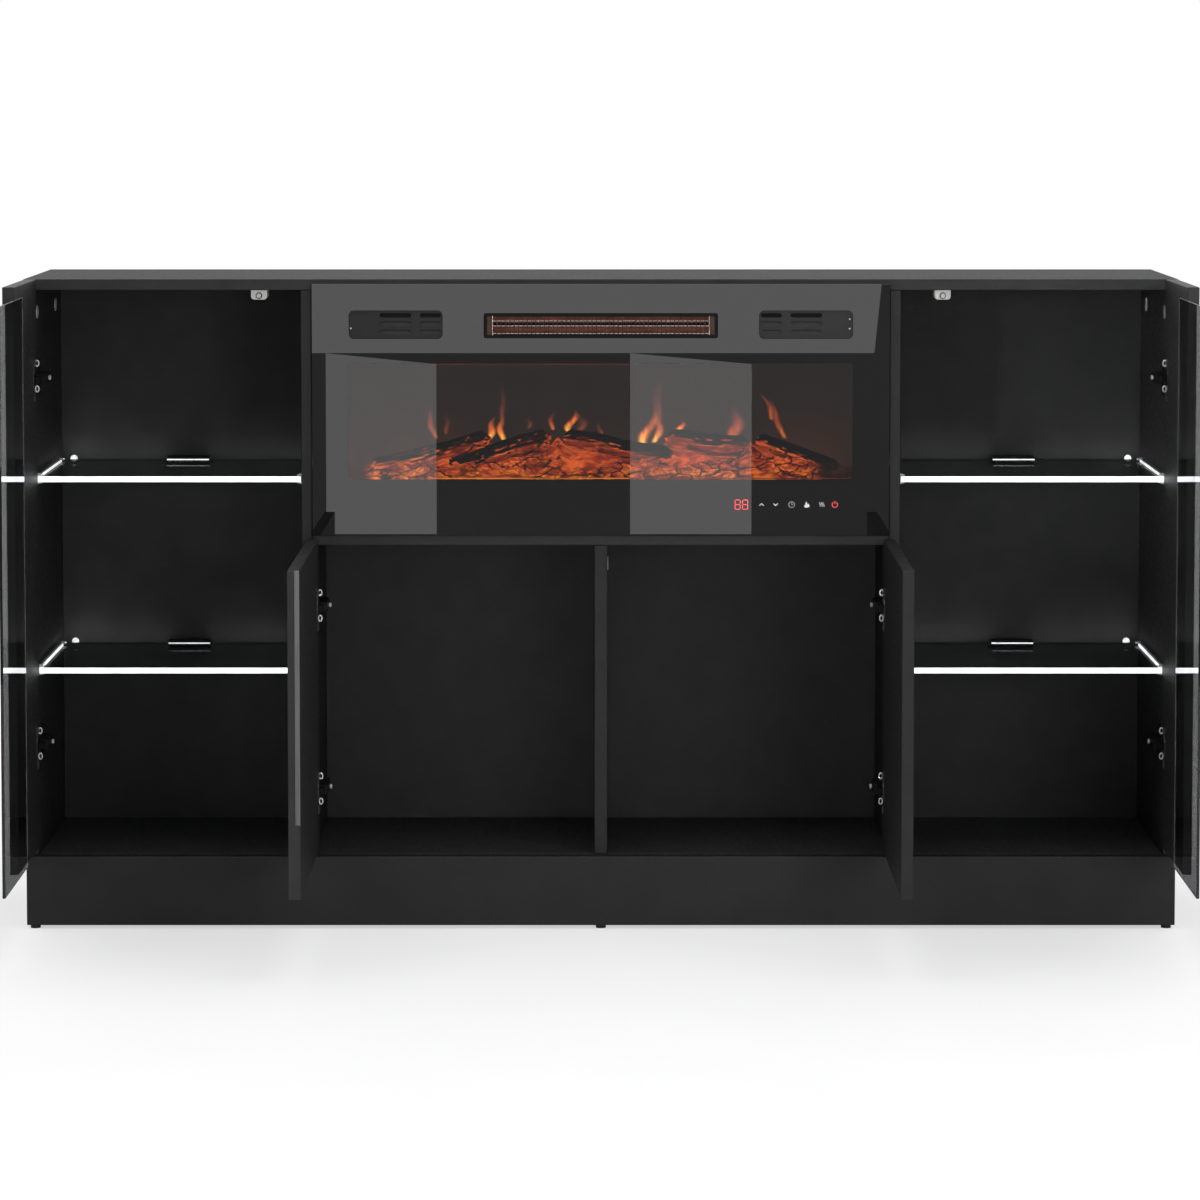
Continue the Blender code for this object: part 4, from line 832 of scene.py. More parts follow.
class Draft:
    """A mesh in the making, drawn where it lies on the object."""

    def __init__(self) -> None:
        """Start an empty mesh."""
        self.mesh = bmesh.new()

    def block(self, low: Sequence[float], high: Sequence[float]) -> "Draft":
        """Add a block between two opposite corners.

        Args:
            low: One corner.
            high: The other corner.

        Returns:
            The draft.
        """
        low, high = Vector(low), Vector(high)
        size = Matrix.Diagonal((*(abs(part) for part in high - low), 1.0))
        bmesh.ops.create_cube(self.mesh, size=1.0, matrix=Matrix.Translation((low + high) / 2) @ size)
        return self

    def tube(self, path: Sequence[Sequence[float]], radius: float, sides: int = 12) -> "Draft":
        """Add a round bar along a path.

        Args:
            path: The points of its middle line.
            radius: Its radius.
            sides: How many sides it has.

        Returns:
            The draft.
        """
        points = [Vector(point) for point in path]
        rings = []
        for index, point in enumerate(points):
            ahead = points[min(index + 1, len(points) - 1)] - points[max(index - 1, 0)]
            turn = ahead.to_track_quat("Z", "Y").to_matrix()
            rings.append([
                self.mesh.verts.new(
                    point + turn @ Vector((radius * math.cos(angle), radius * math.sin(angle), 0))
                )
                for angle in turns(sides)
            ])
        self.skin(rings, closed=True)
        self.mesh.faces.new(reversed(rings[0]))
        self.mesh.faces.new(rings[-1])
        return self

    def hoop(
        self, centre: Sequence[float], half_width: float, half_height: float, radius: float
    ) -> "Draft":
        """Add an upright oval ring of round wire that faces the front.

        Args:
            centre: The ring's middle.
            half_width: Half its width, at the middle of the wire.
            half_height: Half its height, at the middle of the wire.
            radius: The wire's radius.

        Returns:
            The draft.
        """
        rings = []
        for turn in turns(OVAL_STEPS):
            along = Vector((half_width * math.cos(turn), 0.0, half_height * math.sin(turn)))
            spine = Vector(centre) + along
            out = Vector((half_height * math.cos(turn), 0.0, half_width * math.sin(turn))).normalized()
            rings.append([
                self.mesh.verts.new(
                    spine + radius * (out * math.cos(angle) + Vector((0, math.sin(angle), 0)))
                )
                for angle in turns(WIRE_SIDES)
            ])
        faces = self.skin([*rings, rings[0]], closed=True)
        bmesh.ops.recalc_face_normals(self.mesh, faces=faces)
        return self

    def skin(self, rings: Sequence[Sequence[bmesh.types.BMVert]], closed: bool) -> list:
        """Join rows of points with faces.

        Args:
            rings: The rows, all of one length.
            closed: Whether each row's last point joins its first.

        Returns:
            The new faces.
        """
        faces = []
        count = len(rings[0])
        for lower, upper in zip(rings, rings[1:]):
            for index in range(count if closed else count - 1):
                after = (index + 1) % count
                corners = (lower[index], lower[after], upper[after], upper[index])
                faces.append(self.mesh.faces.new(corners))
        return faces

    def prism(self, points: Sequence[Pair], low: float, high: float, axis: Axis = Axis.Y) -> "Draft":
        """Add a flat outline made thick.

        Args:
            points: The outline's points in order.
            low: Where it starts along the axis.
            high: Where it ends along the axis.
            axis: The axis of its thickness.

        Returns:
            The draft.
        """
        rings = [
            [self.mesh.verts.new(axis.place(first, second, depth)) for first, second in points]
            for depth in (low, high)
        ]
        faces = self.skin(rings, closed=True)
        faces += [self.mesh.faces.new(rings[0]), self.mesh.faces.new(rings[1])]
        bmesh.ops.recalc_face_normals(self.mesh, faces=faces)
        return self

    def turned_rows(
        self, profile: Sequence[Pair], centre: Sequence[float], along: Point, sides: int
    ) -> list[list[bmesh.types.BMVert]]:
        """Put rings of points around an axis.

        Args:
            profile: Each ring's radius and its height along the axis.
            centre: The point that the heights start from.
            along: The axis.
            sides: How many points a ring has.

        Returns:
            The rings, in the profile's order.
        """
        turn = Vector(along).to_track_quat("Z", "Y").to_matrix()
        return [
            [
                self.mesh.verts.new(
                    Vector(centre)
                    + turn @ Vector((radius * math.cos(angle), radius * math.sin(angle), height))
                )
                for angle in turns(sides)
            ]
            for radius, height in profile
        ]

    def lathe(
        self, profile: Sequence[Pair], centre: Sequence[float], along: Point, sides: int = 32
    ) -> "Draft":
        """Add a turned shape.

        Args:
            profile: Each ring's radius and its height along the axis.
            centre: The point that the heights start from.
            along: The axis.
            sides: How many sides it has.

        Returns:
            The draft.
        """
        rings = self.turned_rows(profile, centre, along, sides)
        faces = self.skin(rings, closed=True)
        faces += [self.mesh.faces.new(rings[0]), self.mesh.faces.new(rings[-1])]
        bmesh.ops.recalc_face_normals(self.mesh, faces=faces)
        return self

    def turned_ring(
        self, profile: Sequence[Pair], centre: Sequence[float], along: Point, sides: int = 32
    ) -> "Draft":
        """Add a turned shape with a hole through it.

        Args:
            profile: Each corner's radius and height along the axis, ending where it starts.
            centre: The point that the heights start from.
            along: The axis.
            sides: How many sides it has.

        Returns:
            The draft.
        """
        rings = self.turned_rows(profile[:-1], centre, along, sides)
        faces = self.skin([*rings, rings[0]], closed=True)
        bmesh.ops.recalc_face_normals(self.mesh, faces=faces)
        return self

    def piece(
        self,
        name: str,
        finish: Finish,
        slot: str,
        body: str = CABINET,
        replaces: Iterable[str] = (),
        edge: float = 0.0,
        smooth: bool = False,
    ) -> bpy.types.Object:
        """Make the draft into a piece of the object.

        Args:
            name: The piece's name.
            finish: Its finish.
            slot: The record's slot that the finish belongs to; it is not used.
            body: The body that it rides on.
            replaces: The CAD nodes that it stands for.
            edge: The radius of its rounded edges.
            smooth: Whether its faces shade smoothly.

        Returns:
            The piece.
        """
        data = bpy.data.meshes.new(name)
        self.mesh.to_mesh(data)
        self.mesh.free()
        return settle(name, data, finish, body, replaces, edge, smooth)


def settle(
    name: str,
    data: bpy.types.Mesh,
    finish: Finish,
    body: str = CABINET,
    replaces: Iterable[str] = (),
    edge: float = 0.0,
    smooth: bool = False,
) -> bpy.types.Object:
    """Put a finished mesh on the object.

    Args:
        name: The piece's name.
        data: Its mesh.
        finish: Its finish.
        body: The body that it rides on.
        replaces: The CAD nodes that it stands for.
        edge: The radius of its rounded edges.
        smooth: Whether its faces shade smoothly.

    Returns:
        The piece.
    """
    obj = bpy.data.objects.new(name, data)
    bpy.context.scene.collection.objects.link(obj)
    data.materials.clear()
    data.materials.append(material(finish))
    if smooth:
        data.shade_smooth()
        data.set_sharp_from_angle(angle=math.radians(SMOOTH_ANGLE))
    if edge:
        bevel = obj.modifiers.new("Rounded edges", "BEVEL")
        bevel.width = edge
        bevel.segments = BEVEL_STEPS
        bevel.limit_method = "ANGLE"
    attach(obj, body)
    if replaces:
        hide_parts(*replaces)
    LOG.info("made %s", name)
    return obj


def dress(finish: Finish, *nodes: str) -> None:
    """Give CAD nodes a finish.

    Args:
        finish: The finish.
        *nodes: The nodes' names.
    """
    for name in nodes:
        obj = frame["nodes"][name]
        obj.data.materials.clear()
        obj.data.materials.append(material(finish))
        LOG.info("dressed %s", name)


def arc(centre: Pair, radius: float, start: float, end: float, steps: int) -> list[Pair]:
    """Points on an arc.

    Args:
        centre: The arc's centre.
        radius: Its radius.
        start: The angle of its first point, in degrees.
        end: The angle of its last point, in degrees.
        steps: How many steps it has.

    Returns:
        The points.
    """
    angles = [math.radians(start + (end - start) * step / steps) for step in range(steps + 1)]
    x, y = centre
    return [(x + radius * math.cos(angle), y + radius * math.sin(angle)) for angle in angles]


def ring_segment(centre: Pair, radius: float, line: float, start: float, end: float) -> list[Pair]:
    """The outline of a bent line of even width.

    Args:
        centre: The centre of the bend.
        radius: The radius of the line's middle.
        line: The line's width.
        start: The angle of its start, in degrees.
        end: The angle of its end, in degrees.

    Returns:
        The outline's points.
    """
    outer = arc(centre, radius + line / 2, start, end, BEND_STEPS)
    return outer + arc(centre, radius - line / 2, end, start, BEND_STEPS)


def bar_outline(start: Pair, end: Pair, line: float) -> list[Pair]:
    """The outline of a straight line of even width.

    Args:
        start: Its start.
        end: Its end.
        line: Its width.

    Returns:
        The outline's points.
    """
    first, last = Vector(start), Vector(end)
    across = (last - first).orthogonal().normalized() * line / 2
    return [tuple(point) for point in (first - across, last - across, last + across, first + across)]


@dataclass(frozen=True)
class SoftLight:
    """A soft rectangular light: where it hangs, what it faces, its width and height, and its watts.

    Its cone is the angle that it shines into, in degrees. Glossy surfaces show it only if it is mirrored.
    """

    name: str
    place: Sequence[float]
    target: Sequence[float]
    size: Pair
    power: float
    mirrored: bool = False
    cone: float = 180.0

    def hang(self) -> None:
        """Hang the light in the scene, where the camera doesn't see it."""
        data = bpy.data.lights.new(self.name, "AREA")
        data.spread = math.radians(self.cone)
        data.shape = "RECTANGLE"
        data.size, data.size_y = self.size
        data.energy = self.power
        obj = bpy.data.objects.new(self.name, data)
        obj.location = self.place
        way = Vector(self.target) - Vector(self.place)
        obj.rotation_euler = way.to_track_quat("-Z", "Y").to_euler()
        obj.visible_camera = False
        obj.visible_transmission = False
        obj.visible_glossy = self.mirrored
        bpy.context.scene.collection.objects.link(obj)


@dataclass
class Carcass:
    """The boards and the small fittings that are let into them."""

    cap_radius: float = 0.0095
    cap_height: float = 0.0014
    cap_recess: float = 0.0004
    cap_bevel: float = 0.94
    cap_dish: float = 0.60
    cap_dish_floor: float = 0.56
    cap_middle: float = 0.12
    cap_levels: tuple[Pair, ...] = ((0.858, 0.031), (0.858, 0.250))
    divider_cap: Pair = (0.506, 0.037)
    grommet_radius: float = 0.0052
    grommet_hole: float = 0.0018
    grommet_height: float = 0.0030
    grommet_shoulder: float = 0.6
    grommet_crown: float = 0.8
    grommet_bore: float = 0.4
    grommet_from_side: float = 0.0173
    grommet_drop: float = 0.0055

    def boards(self) -> None:
        """Dress the boards and the back."""
        # Each board gets a lighter or darker copy of one satin black finish: painted light and shade
        dress(TOP_BOARD_PAINTED_LIGHTER, "top_board")
        dress(BACK_BOARD_PAINTED_LIGHTER, "back_panel")
        dress(BLACK_BOARD, "fire_shelf_board")
        dress(BOTTOM_BOARD_PAINTED_LIGHTER, "bottom_board")
        dress(PLINTH_BOARD_PAINTED_DARKER, "front_plinth_board", "rear_plinth_board", "centre_divider_board")
        for side in Side:
            dress(DOOR_BOARD_PAINTED_LIGHTER, f"{side.word}_side_board")
            dress(PLINTH_BOARD_PAINTED_DARKER, f"{side.word}_divider_board")

    def cap(self, name: str, seat: Point, along: Point) -> None:
        """Make one cover cap of a cam lock.

        Args:
            name: The piece's name.
            seat: The point on the board under its middle.
            along: The way that it faces.
        """
        radius, height = self.cap_radius, self.cap_height
        profile = (
            (radius, 0.0),
            (radius, height / 2),
            (radius * self.cap_bevel, height),
            (radius * self.cap_dish, height),
            (radius * self.cap_dish_floor, height - self.cap_recess),
            (radius * self.cap_middle, height - self.cap_recess),
        )
        Draft().lathe(profile, seat, along).piece(name, CAP_PLASTIC, "black_board", smooth=True)

    def caps(self) -> None:
        """Make the caps on the side boards and the one on the centre divider."""
        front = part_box("left_side_board")[0][1]
        for side in Side:
            inner = inner_face(side, f"{side.word}_side_board")
            for number, (level, behind) in enumerate(self.cap_levels, 1):
                name = f"{side.word}_side_cap_{number}"
                self.cap(name, (inner, front + behind, level), (-side.value, 0, 0))
        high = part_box("centre_divider_board")[1]
        level, behind = self.divider_cap
        self.cap("centre_divider_cap", (high[0], front + behind, level), (1, 0, 0))

    def grommets(self) -> None:
        """Make the ring in the back panel that each lamp's lead goes through."""
        panel_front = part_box("back_panel")[0][1]
        outer, hole, height = self.grommet_radius, self.grommet_hole, self.grommet_height
        profile = (
            (outer, 0.0),
            (outer, height * self.grommet_shoulder),
            (outer * self.grommet_crown, height),
            (hole, height),
            (hole, height * self.grommet_bore),
        )
        for side, place in itertools.product(Side, Level):
            x = inner_face(side, f"{side.word}_side_board") - side.value * self.grommet_from_side
            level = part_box(f"{side.word}_{place.value}_shelf_lamp")[1][2] - self.grommet_drop
            Draft().lathe(profile, (x, panel_front, level), (0, -1, 0)).piece(
                f"{side.word}_{place.value}_grommet", BRIGHT_PLASTIC, "white_plastic", smooth=True
            )

    def build(self) -> None:
        """Dress the boards and make the fittings."""
        self.boards()
        self.caps()
        self.grommets()
        LOG.info("carcass: boards, caps and grommets")


@dataclass
class GlassShelf:
    """One glass shelf with its clips and its lamp."""

    side: Side
    place: Level
    thickness: float = 0.008
    clip_reach: float = 0.007
    clip_height: float = 0.015
    clip_length: float = 0.010
    clip_inset: float = 0.006
    clip_lip: float = 0.0018
    wall_gap: float = 0.0003
    side_gap: float = 0.0016
    lens_height: float = 0.0011
    lens_depth: float = 0.002
    edge: float = 0.0006
    glow_strip: float = 0.004
    glow_rise: float = 0.003
    glow_inset: float = 0.004
    glow_slope: float = 0.8
    glow_power: float = 0.18
    rear_glow_inset: float = 0.002
    rear_glow_slope: float = 0.9
    rear_glow_power: float = 0.06

    @property
    def node(self) -> str:
        """The CAD node that this shelf and its clips stand for."""
        return f"{self.side.word}_{self.place.value}_glass_shelf"

    def corners(self) -> tuple[Vector, Vector]:
        """The glass's own lowest and highest corners, without the clips."""
        low, high = (Vector(corner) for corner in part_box(self.node))
        middle = (low.z + high.z) / 2
        inset = self.side_gap - self.wall_gap
        low = Vector((low.x + inset, low.y, middle - self.thickness / 2))
        high = Vector((high.x - inset, high.y, middle + self.thickness / 2))
        return low, high

    def glass(self) -> None:
        """Make the pane, with the polished edges that the lamp's light comes out of."""
        low, high = self.corners()
        pane = Draft().block(low, high).piece(
            f"{self.node}_pane", CLEAR_GLASS, "clear_glass", replaces=(self.node,), edge=self.edge
        )
        pane.data.materials.append(material(LIT_EDGE))
        pane.data.materials.append(material(REAR_EDGE_PAINTED_SHADE))
        outer = high.x if self.side is Side.RIGHT else low.x
        for face in pane.data.polygons:
            if abs(face.center.y - low.y) < self.edge or abs(face.center.x - outer) < self.edge:
                face.material_index = 1
            # The rear edge gets the near-black finish: painted shade
            elif abs(face.center.y - high.y) < self.edge:
                face.material_index = 2

    def clips(self) -> None:
        """Make the four clips, each a small jaw over and under the glass."""
        low, high = self.corners()
        middle = (low.z + high.z) / 2
        rise, half = self.clip_height / 2, self.thickness / 2
        box_low, box_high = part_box(self.node)
        for wall, inward in ((box_low[0], 1), (box_high[0], -1)):
            tip = wall + inward * self.clip_reach
            glass = wall + inward * (self.side_gap - self.wall_gap)
            section = (
                (wall, middle - rise),
                (tip, middle - half - self.clip_lip),
                (tip, middle - half),
                (glass, middle - half),
                (glass, middle + half),
                (tip, middle + half),
                (tip, middle + half + self.clip_lip),
                (wall, middle + rise),
            )
            for end, start in (
                ("front", low.y + self.clip_inset),
                ("back", high.y - self.clip_inset - self.clip_length),
            ):
                name = f"{self.node}_{'right' if inward < 0 else 'left'}_{end}_clip"
                Draft().prism(section, start, start + self.clip_length).piece(
                    name, CLIP_PLASTIC, "white_plastic", replaces=(self.node,), edge=self.edge / 2
                )

    def lamp(self) -> None:
        """Dress the lamp's body and make the lens along its upper jaw."""
        node = f"{self.side.word}_{self.place.value}_shelf_lamp"
        dress(LAMP_BODY, node)
        low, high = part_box(node)
        glass_top = self.corners()[1].z
        start = glass_top + self.wall_gap
        corner = (low[0] + self.wall_gap, low[1] - self.wall_gap * 2, start)
        far = (high[0] - self.wall_gap, low[1] + self.lens_depth, start + self.lens_height)
        Draft().block(corner, far).piece(f"{node}_lens", LAMP_LENS, "lamp_white", edge=self.edge / 2)

    def glow(self) -> None:
        """Put the light that leaves the glass on the wall beside it and on the back panel."""
        low, high = self.corners()
        way = self.side.value
        outer = high.x if self.side is Side.RIGHT else low.x
        level = high.z + self.glow_rise
        beside = Vector((outer - way * self.glow_inset, (low.y + high.y) / 2, level))
        behind = Vector(((low.x + high.x) / 2, high.y - self.rear_glow_inset, level))
        for name, place, aim, length, power in (
            ("side", beside, (-way, 0, self.glow_slope), high.y - low.y, self.glow_power),
            ("rear", behind, (0, 1, self.rear_glow_slope), high.x - low.x, self.rear_glow_power),
        ):
            size = (length, self.glow_strip)
            SoftLight(f"{self.node}_{name}_glow", place, place + Vector(aim), size, power).hang()

    def build(self) -> None:
        """Make the shelf."""
        self.glass()
        self.clips()
        self.lamp()
        self.glow()
        LOG.info("%s", self.node)


@dataclass
class Doors:
    """The four open doors with their hinges, and the push latches that the tall ones meet."""

    # Bright wire rings on the hinge cups: painted glints
    lug_half_width: float = 0.0024
    lug_half_height: float = 0.0040
    lug_wire: float = 0.0010
    lug_offsets: Pair = (0.0235, -0.0120)
    head_radius: float = 0.0034
    head_height: float = 0.0036
    head_foot: float = 0.7
    head_flare: float = 0.4
    head_shoulder: float = 0.8
    head_crown: float = 0.6
    head_behind: float = 0.033
    collar_outer: float = 0.0045
    collar_inner: float = 0.0034
    collar_depth: float = 0.0030
    collar_inset: float = 0.0005

    def panels(self) -> None:
        """Dress the panels, the panes and the grip strip."""
        for side in Side:
            dress(DOOR_BOARD_PAINTED_LIGHTER, f"{side.word}_tall_door_panel")
            dress(SMOKED_GLASS, f"{side.word}_tall_door_glass")
        dress(DOOR_BOARD_PAINTED_LIGHTER, "left_low_door_panel")
        # The right low door gets the darker copy, as painted shade, while the left low door gets the lighter
        # one
        dress(PLINTH_BOARD_PAINTED_DARKER, "right_low_door_panel")
        dress(ALUMINIUM, "left_low_door_grip_strip")

    def hinges(self) -> None:
        """Dress the hinges dark, as painted shade, and make the bright rings of painted glint and the screw
        heads on them.
        """
        for side, kind, place in itertools.product(Side, DoorKind, Level):
            door = f"{side.word}_{kind.value}_door"
            hinge = f"{door}_{place.value}_hinge"
            dress(NICKEL_PAINTED_DARK, f"{hinge}_cup")
            dress(HINGE_STEEL_PAINTED_BLACK, f"{hinge}_arm")
            self.hinge_lugs(hinge, side, door)
            self.screw_head(hinge, side)

    def hinge_lugs(self, hinge: str, side: Side, body: str) -> None:
        """Make the two bright wire rings that stand on a hinge cup, as painted glints where its screws catch
        the light.

        Args:
            hinge: The start of the hinge's names.
            side: The side of its door.
            body: The door that the cup is in.
        """
        low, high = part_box(f"{hinge}_cup")
        x = inner_face(side, f"{hinge}_cup") - side.value * (self.lug_half_width - self.lug_wire)
        y, middle = (low[1] + high[1]) / 2, (low[2] + high[2]) / 2
        for number, offset in enumerate(self.lug_offsets, 1):
            centre = (x, y, middle + offset)
            Draft().hoop(centre, self.lug_half_width, self.lug_half_height, self.lug_wire).piece(
                f"{hinge}_lug_{number}", BRIGHT_ZINC, "nickel_steel", body, smooth=True
            )

    def screw_head(self, hinge: str, side: Side) -> None:
        """Make the bright screw head on a hinge arm.

        Args:
            hinge: The start of the hinge's names.
            side: The side of its door.
        """
        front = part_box("left_side_board")[0][1]
        low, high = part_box(f"{hinge}_arm")
        seat = (inner_face(side, f"{hinge}_arm"), front + self.head_behind, (low[2] + high[2]) / 2)
        radius, height = self.head_radius, self.head_height
        profile = (
            (radius * self.head_foot, 0),
            (radius, height * self.head_flare),
            (radius, height * self.head_shoulder),
            (radius * self.head_crown, height),
        )
        Draft().lathe(profile, seat, (-side.value, 0, 0), SCREW_SIDES).piece(
            f"{hinge}_screw_head", BRIGHT_ZINC, "nickel_steel", smooth=True
        )

    def latches(self) -> None:
        """Dress the latches and line the mouth that each plunger comes out of."""
        outer, inner, depth = self.collar_outer, self.collar_inner, self.collar_depth
        profile = ((inner, 0), (outer, 0), (outer, depth), (inner, depth), (inner, 0.0))
        for side in Side:
            dress(WHITE_PLASTIC, f"{side.word}_latch_housing", f"{side.word}_latch_plunger")
            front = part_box(f"{side.word}_latch_housing")[0][1]
            low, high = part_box(f"{side.word}_latch_plunger")
            seat = ((low[0] + high[0]) / 2, front + self.collar_inset, (low[2] + high[2]) / 2)
            Draft().turned_ring(profile, seat, (0, 1, 0)).piece(
                f"{side.word}_latch_collar", DARK_PLASTIC, "white_plastic", smooth=True
            )

    def build(self) -> None:
        """Dress the doors, hinges and latches."""
        self.panels()
        self.hinges()
        self.latches()
        LOG.info("doors, hinges and latches")


class Mark(Enum):
    """A touch mark on the front glass."""

    DIGITS = 0
    UP = 1
    DOWN = 2
    TIMER = 3
    FLAME = 4
    HEAT = 5
    POWER = 6


@dataclass
class ControlMarks:
    """The lit display and the touch marks along the lower right of the front glass."""

    face: float
    level: float
    mark_places: tuple[float, ...] = (0.1951, 0.2231, 0.2426, 0.2649, 0.2858, 0.3067, 0.3248)
    depth: float = 0.00008
    sunk_share: float = 0.25
    line: float = 0.0008
    digit_width: float = 0.0080
    digit_height: float = 0.0130
    digit_pitch: float = 0.0105
    size: float = 0.0045
    # Shares of the size
    chevron_reach: float = 0.7
    chevron_rise: float = 0.35
    clock_radius: float = 0.9
    clock_hands: tuple[Pair, ...] = ((0.0, 0.6), (0.4, 0.0))
    flame: tuple[Pair, ...] = (
        (-0.9, -0.5), (-0.5, -0.1), (-0.35, 0.6), (-0.05, 1.0), (0.1, 0.1), (0.5, 0.35), (0.9, -0.4),
        (0.5, -0.9), (-0.5, -0.9),
    )
    wave_shifts: tuple[float, ...] = (-0.55, 0.0, 0.55)
    wave_radius: float = 0.40
    wave_upper: Pair = (0.2, 0.40)
    wave_lower: Pair = (-0.2, -0.28)
    power_radius: float = 0.85
    power_bar: Pair = (0.15, 1.15)
    # Shares of the line
    digit_line: float = 1.2
    digit_space: float = 0.55
    chevron_line: float = 1.3
    clock_line: float = 0.6
    wave_line: float = 0.8
    # Degrees
    wave_upper_bend: Pair = (120, 240)
    wave_lower_bend: Pair = (-60, 60)
    power_bend: Pair = (125, 415)

    def digit(self, x: float) -> list[list[Pair]]:
        """The outlines of the seven bars of a digit whose middle is at X."""
        line, z = self.line * self.digit_line, self.level
        half, rise = self.digit_width / 2 - self.line / 2, self.digit_height / 2
        space = line * self.digit_space
        bars = [
            ((x - half + space, z + offset), (x + half - space, z + offset)) for offset in (rise, 0.0, -rise)
        ]
        for across in (-half, half):
            bars.append(((x + across, z + space), (x + across, z + rise - space)))
            bars.append(((x + across, z - rise + space), (x + across, z - space)))
        return [bar_outline(start, end, line) for start, end in bars]

    def chevron(self, x: float, way: int) -> list[list[Pair]]:
        """The two arms of an arrow.

        Args:
            x: Where its middle is.
            way: 1 where it points up and -1 where it points down.

        Returns:
            The outlines.
        """
        reach, rise = self.size * self.chevron_reach, way * self.size * self.chevron_rise
        tip, foot = (x, self.level + rise), self.level - rise
        line = self.line * self.chevron_line
        return [bar_outline((end, foot), tip, line) for end in (x - reach, x + reach)]

    def clock(self, x: float) -> list[list[Pair]]:
        """The outlines of a clock face with two hands, whose middle is at X."""
        centre, line = (x, self.level), self.line * self.clock_line
        radius = self.size * self.clock_radius
        halves = [ring_segment(centre, radius, line, start, start + 180) for start in (0, 180)]
        hands = [(x + self.size * right, self.level + self.size * up) for right, up in self.clock_hands]
        return halves + [bar_outline(centre, end, line) for end in hands]

    def waves(self, x: float) -> list[list[Pair]]:
        """The outlines of three rising waves, the middle one at X."""
        size, line = self.size, self.line * self.wave_line
        radius = size * self.wave_radius
        bends = ((self.wave_upper, self.wave_upper_bend), (self.wave_lower, self.wave_lower_bend))
        return [
            ring_segment((x + shift * size + size * right, self.level + size * up), radius, line, start, end)
            for shift in self.wave_shifts
            for (right, up), (start, end) in bends
        ]

    def power(self, x: float) -> list[list[Pair]]:
        """The outlines of an open ring with a bar in its gap, whose middle is at X."""
        ring = ring_segment((x, self.level), self.size * self.power_radius, self.line, *self.power_bend)
        start, end = ((x, self.level + self.size * share) for share in self.power_bar)
        return [ring, bar_outline(start, end, self.line)]

    def outlines(self, mark: Mark, x: float) -> list[list[Pair]]:
        """The outlines of one mark.

        Args:
            mark: Which mark it is.
            x: Where its middle is.

        Returns:
            The outlines.
        """
        match mark:
            case Mark.DIGITS:
                return self.digit(x - self.digit_pitch / 2) + self.digit(x + self.digit_pitch / 2)
            case Mark.UP:
                return self.chevron(x, 1)
            case Mark.DOWN:
                return self.chevron(x, -1)
            case Mark.TIMER:
                return self.clock(x)
            case Mark.FLAME:
                return [[(x + self.size * right, self.level + self.size * up) for right, up in self.flame]]
            case Mark.HEAT:
                return self.waves(x)
            case _:
                return self.power(x)

    def build(self) -> None:
        """Make each mark as a printed film on the glass."""
        for mark, x in zip(Mark, self.mark_places):
            finish = RED_MARK if mark in (Mark.DIGITS, Mark.POWER) else WHITE_MARK
            draft = Draft()
            for outline in self.outlines(mark, x):
                draft.prism(outline, self.face - self.depth, self.face + self.depth * self.sunk_share)
            draft.piece(f"mark_{mark.name.lower()}", finish, "black_glass")
        LOG.info("control marks")


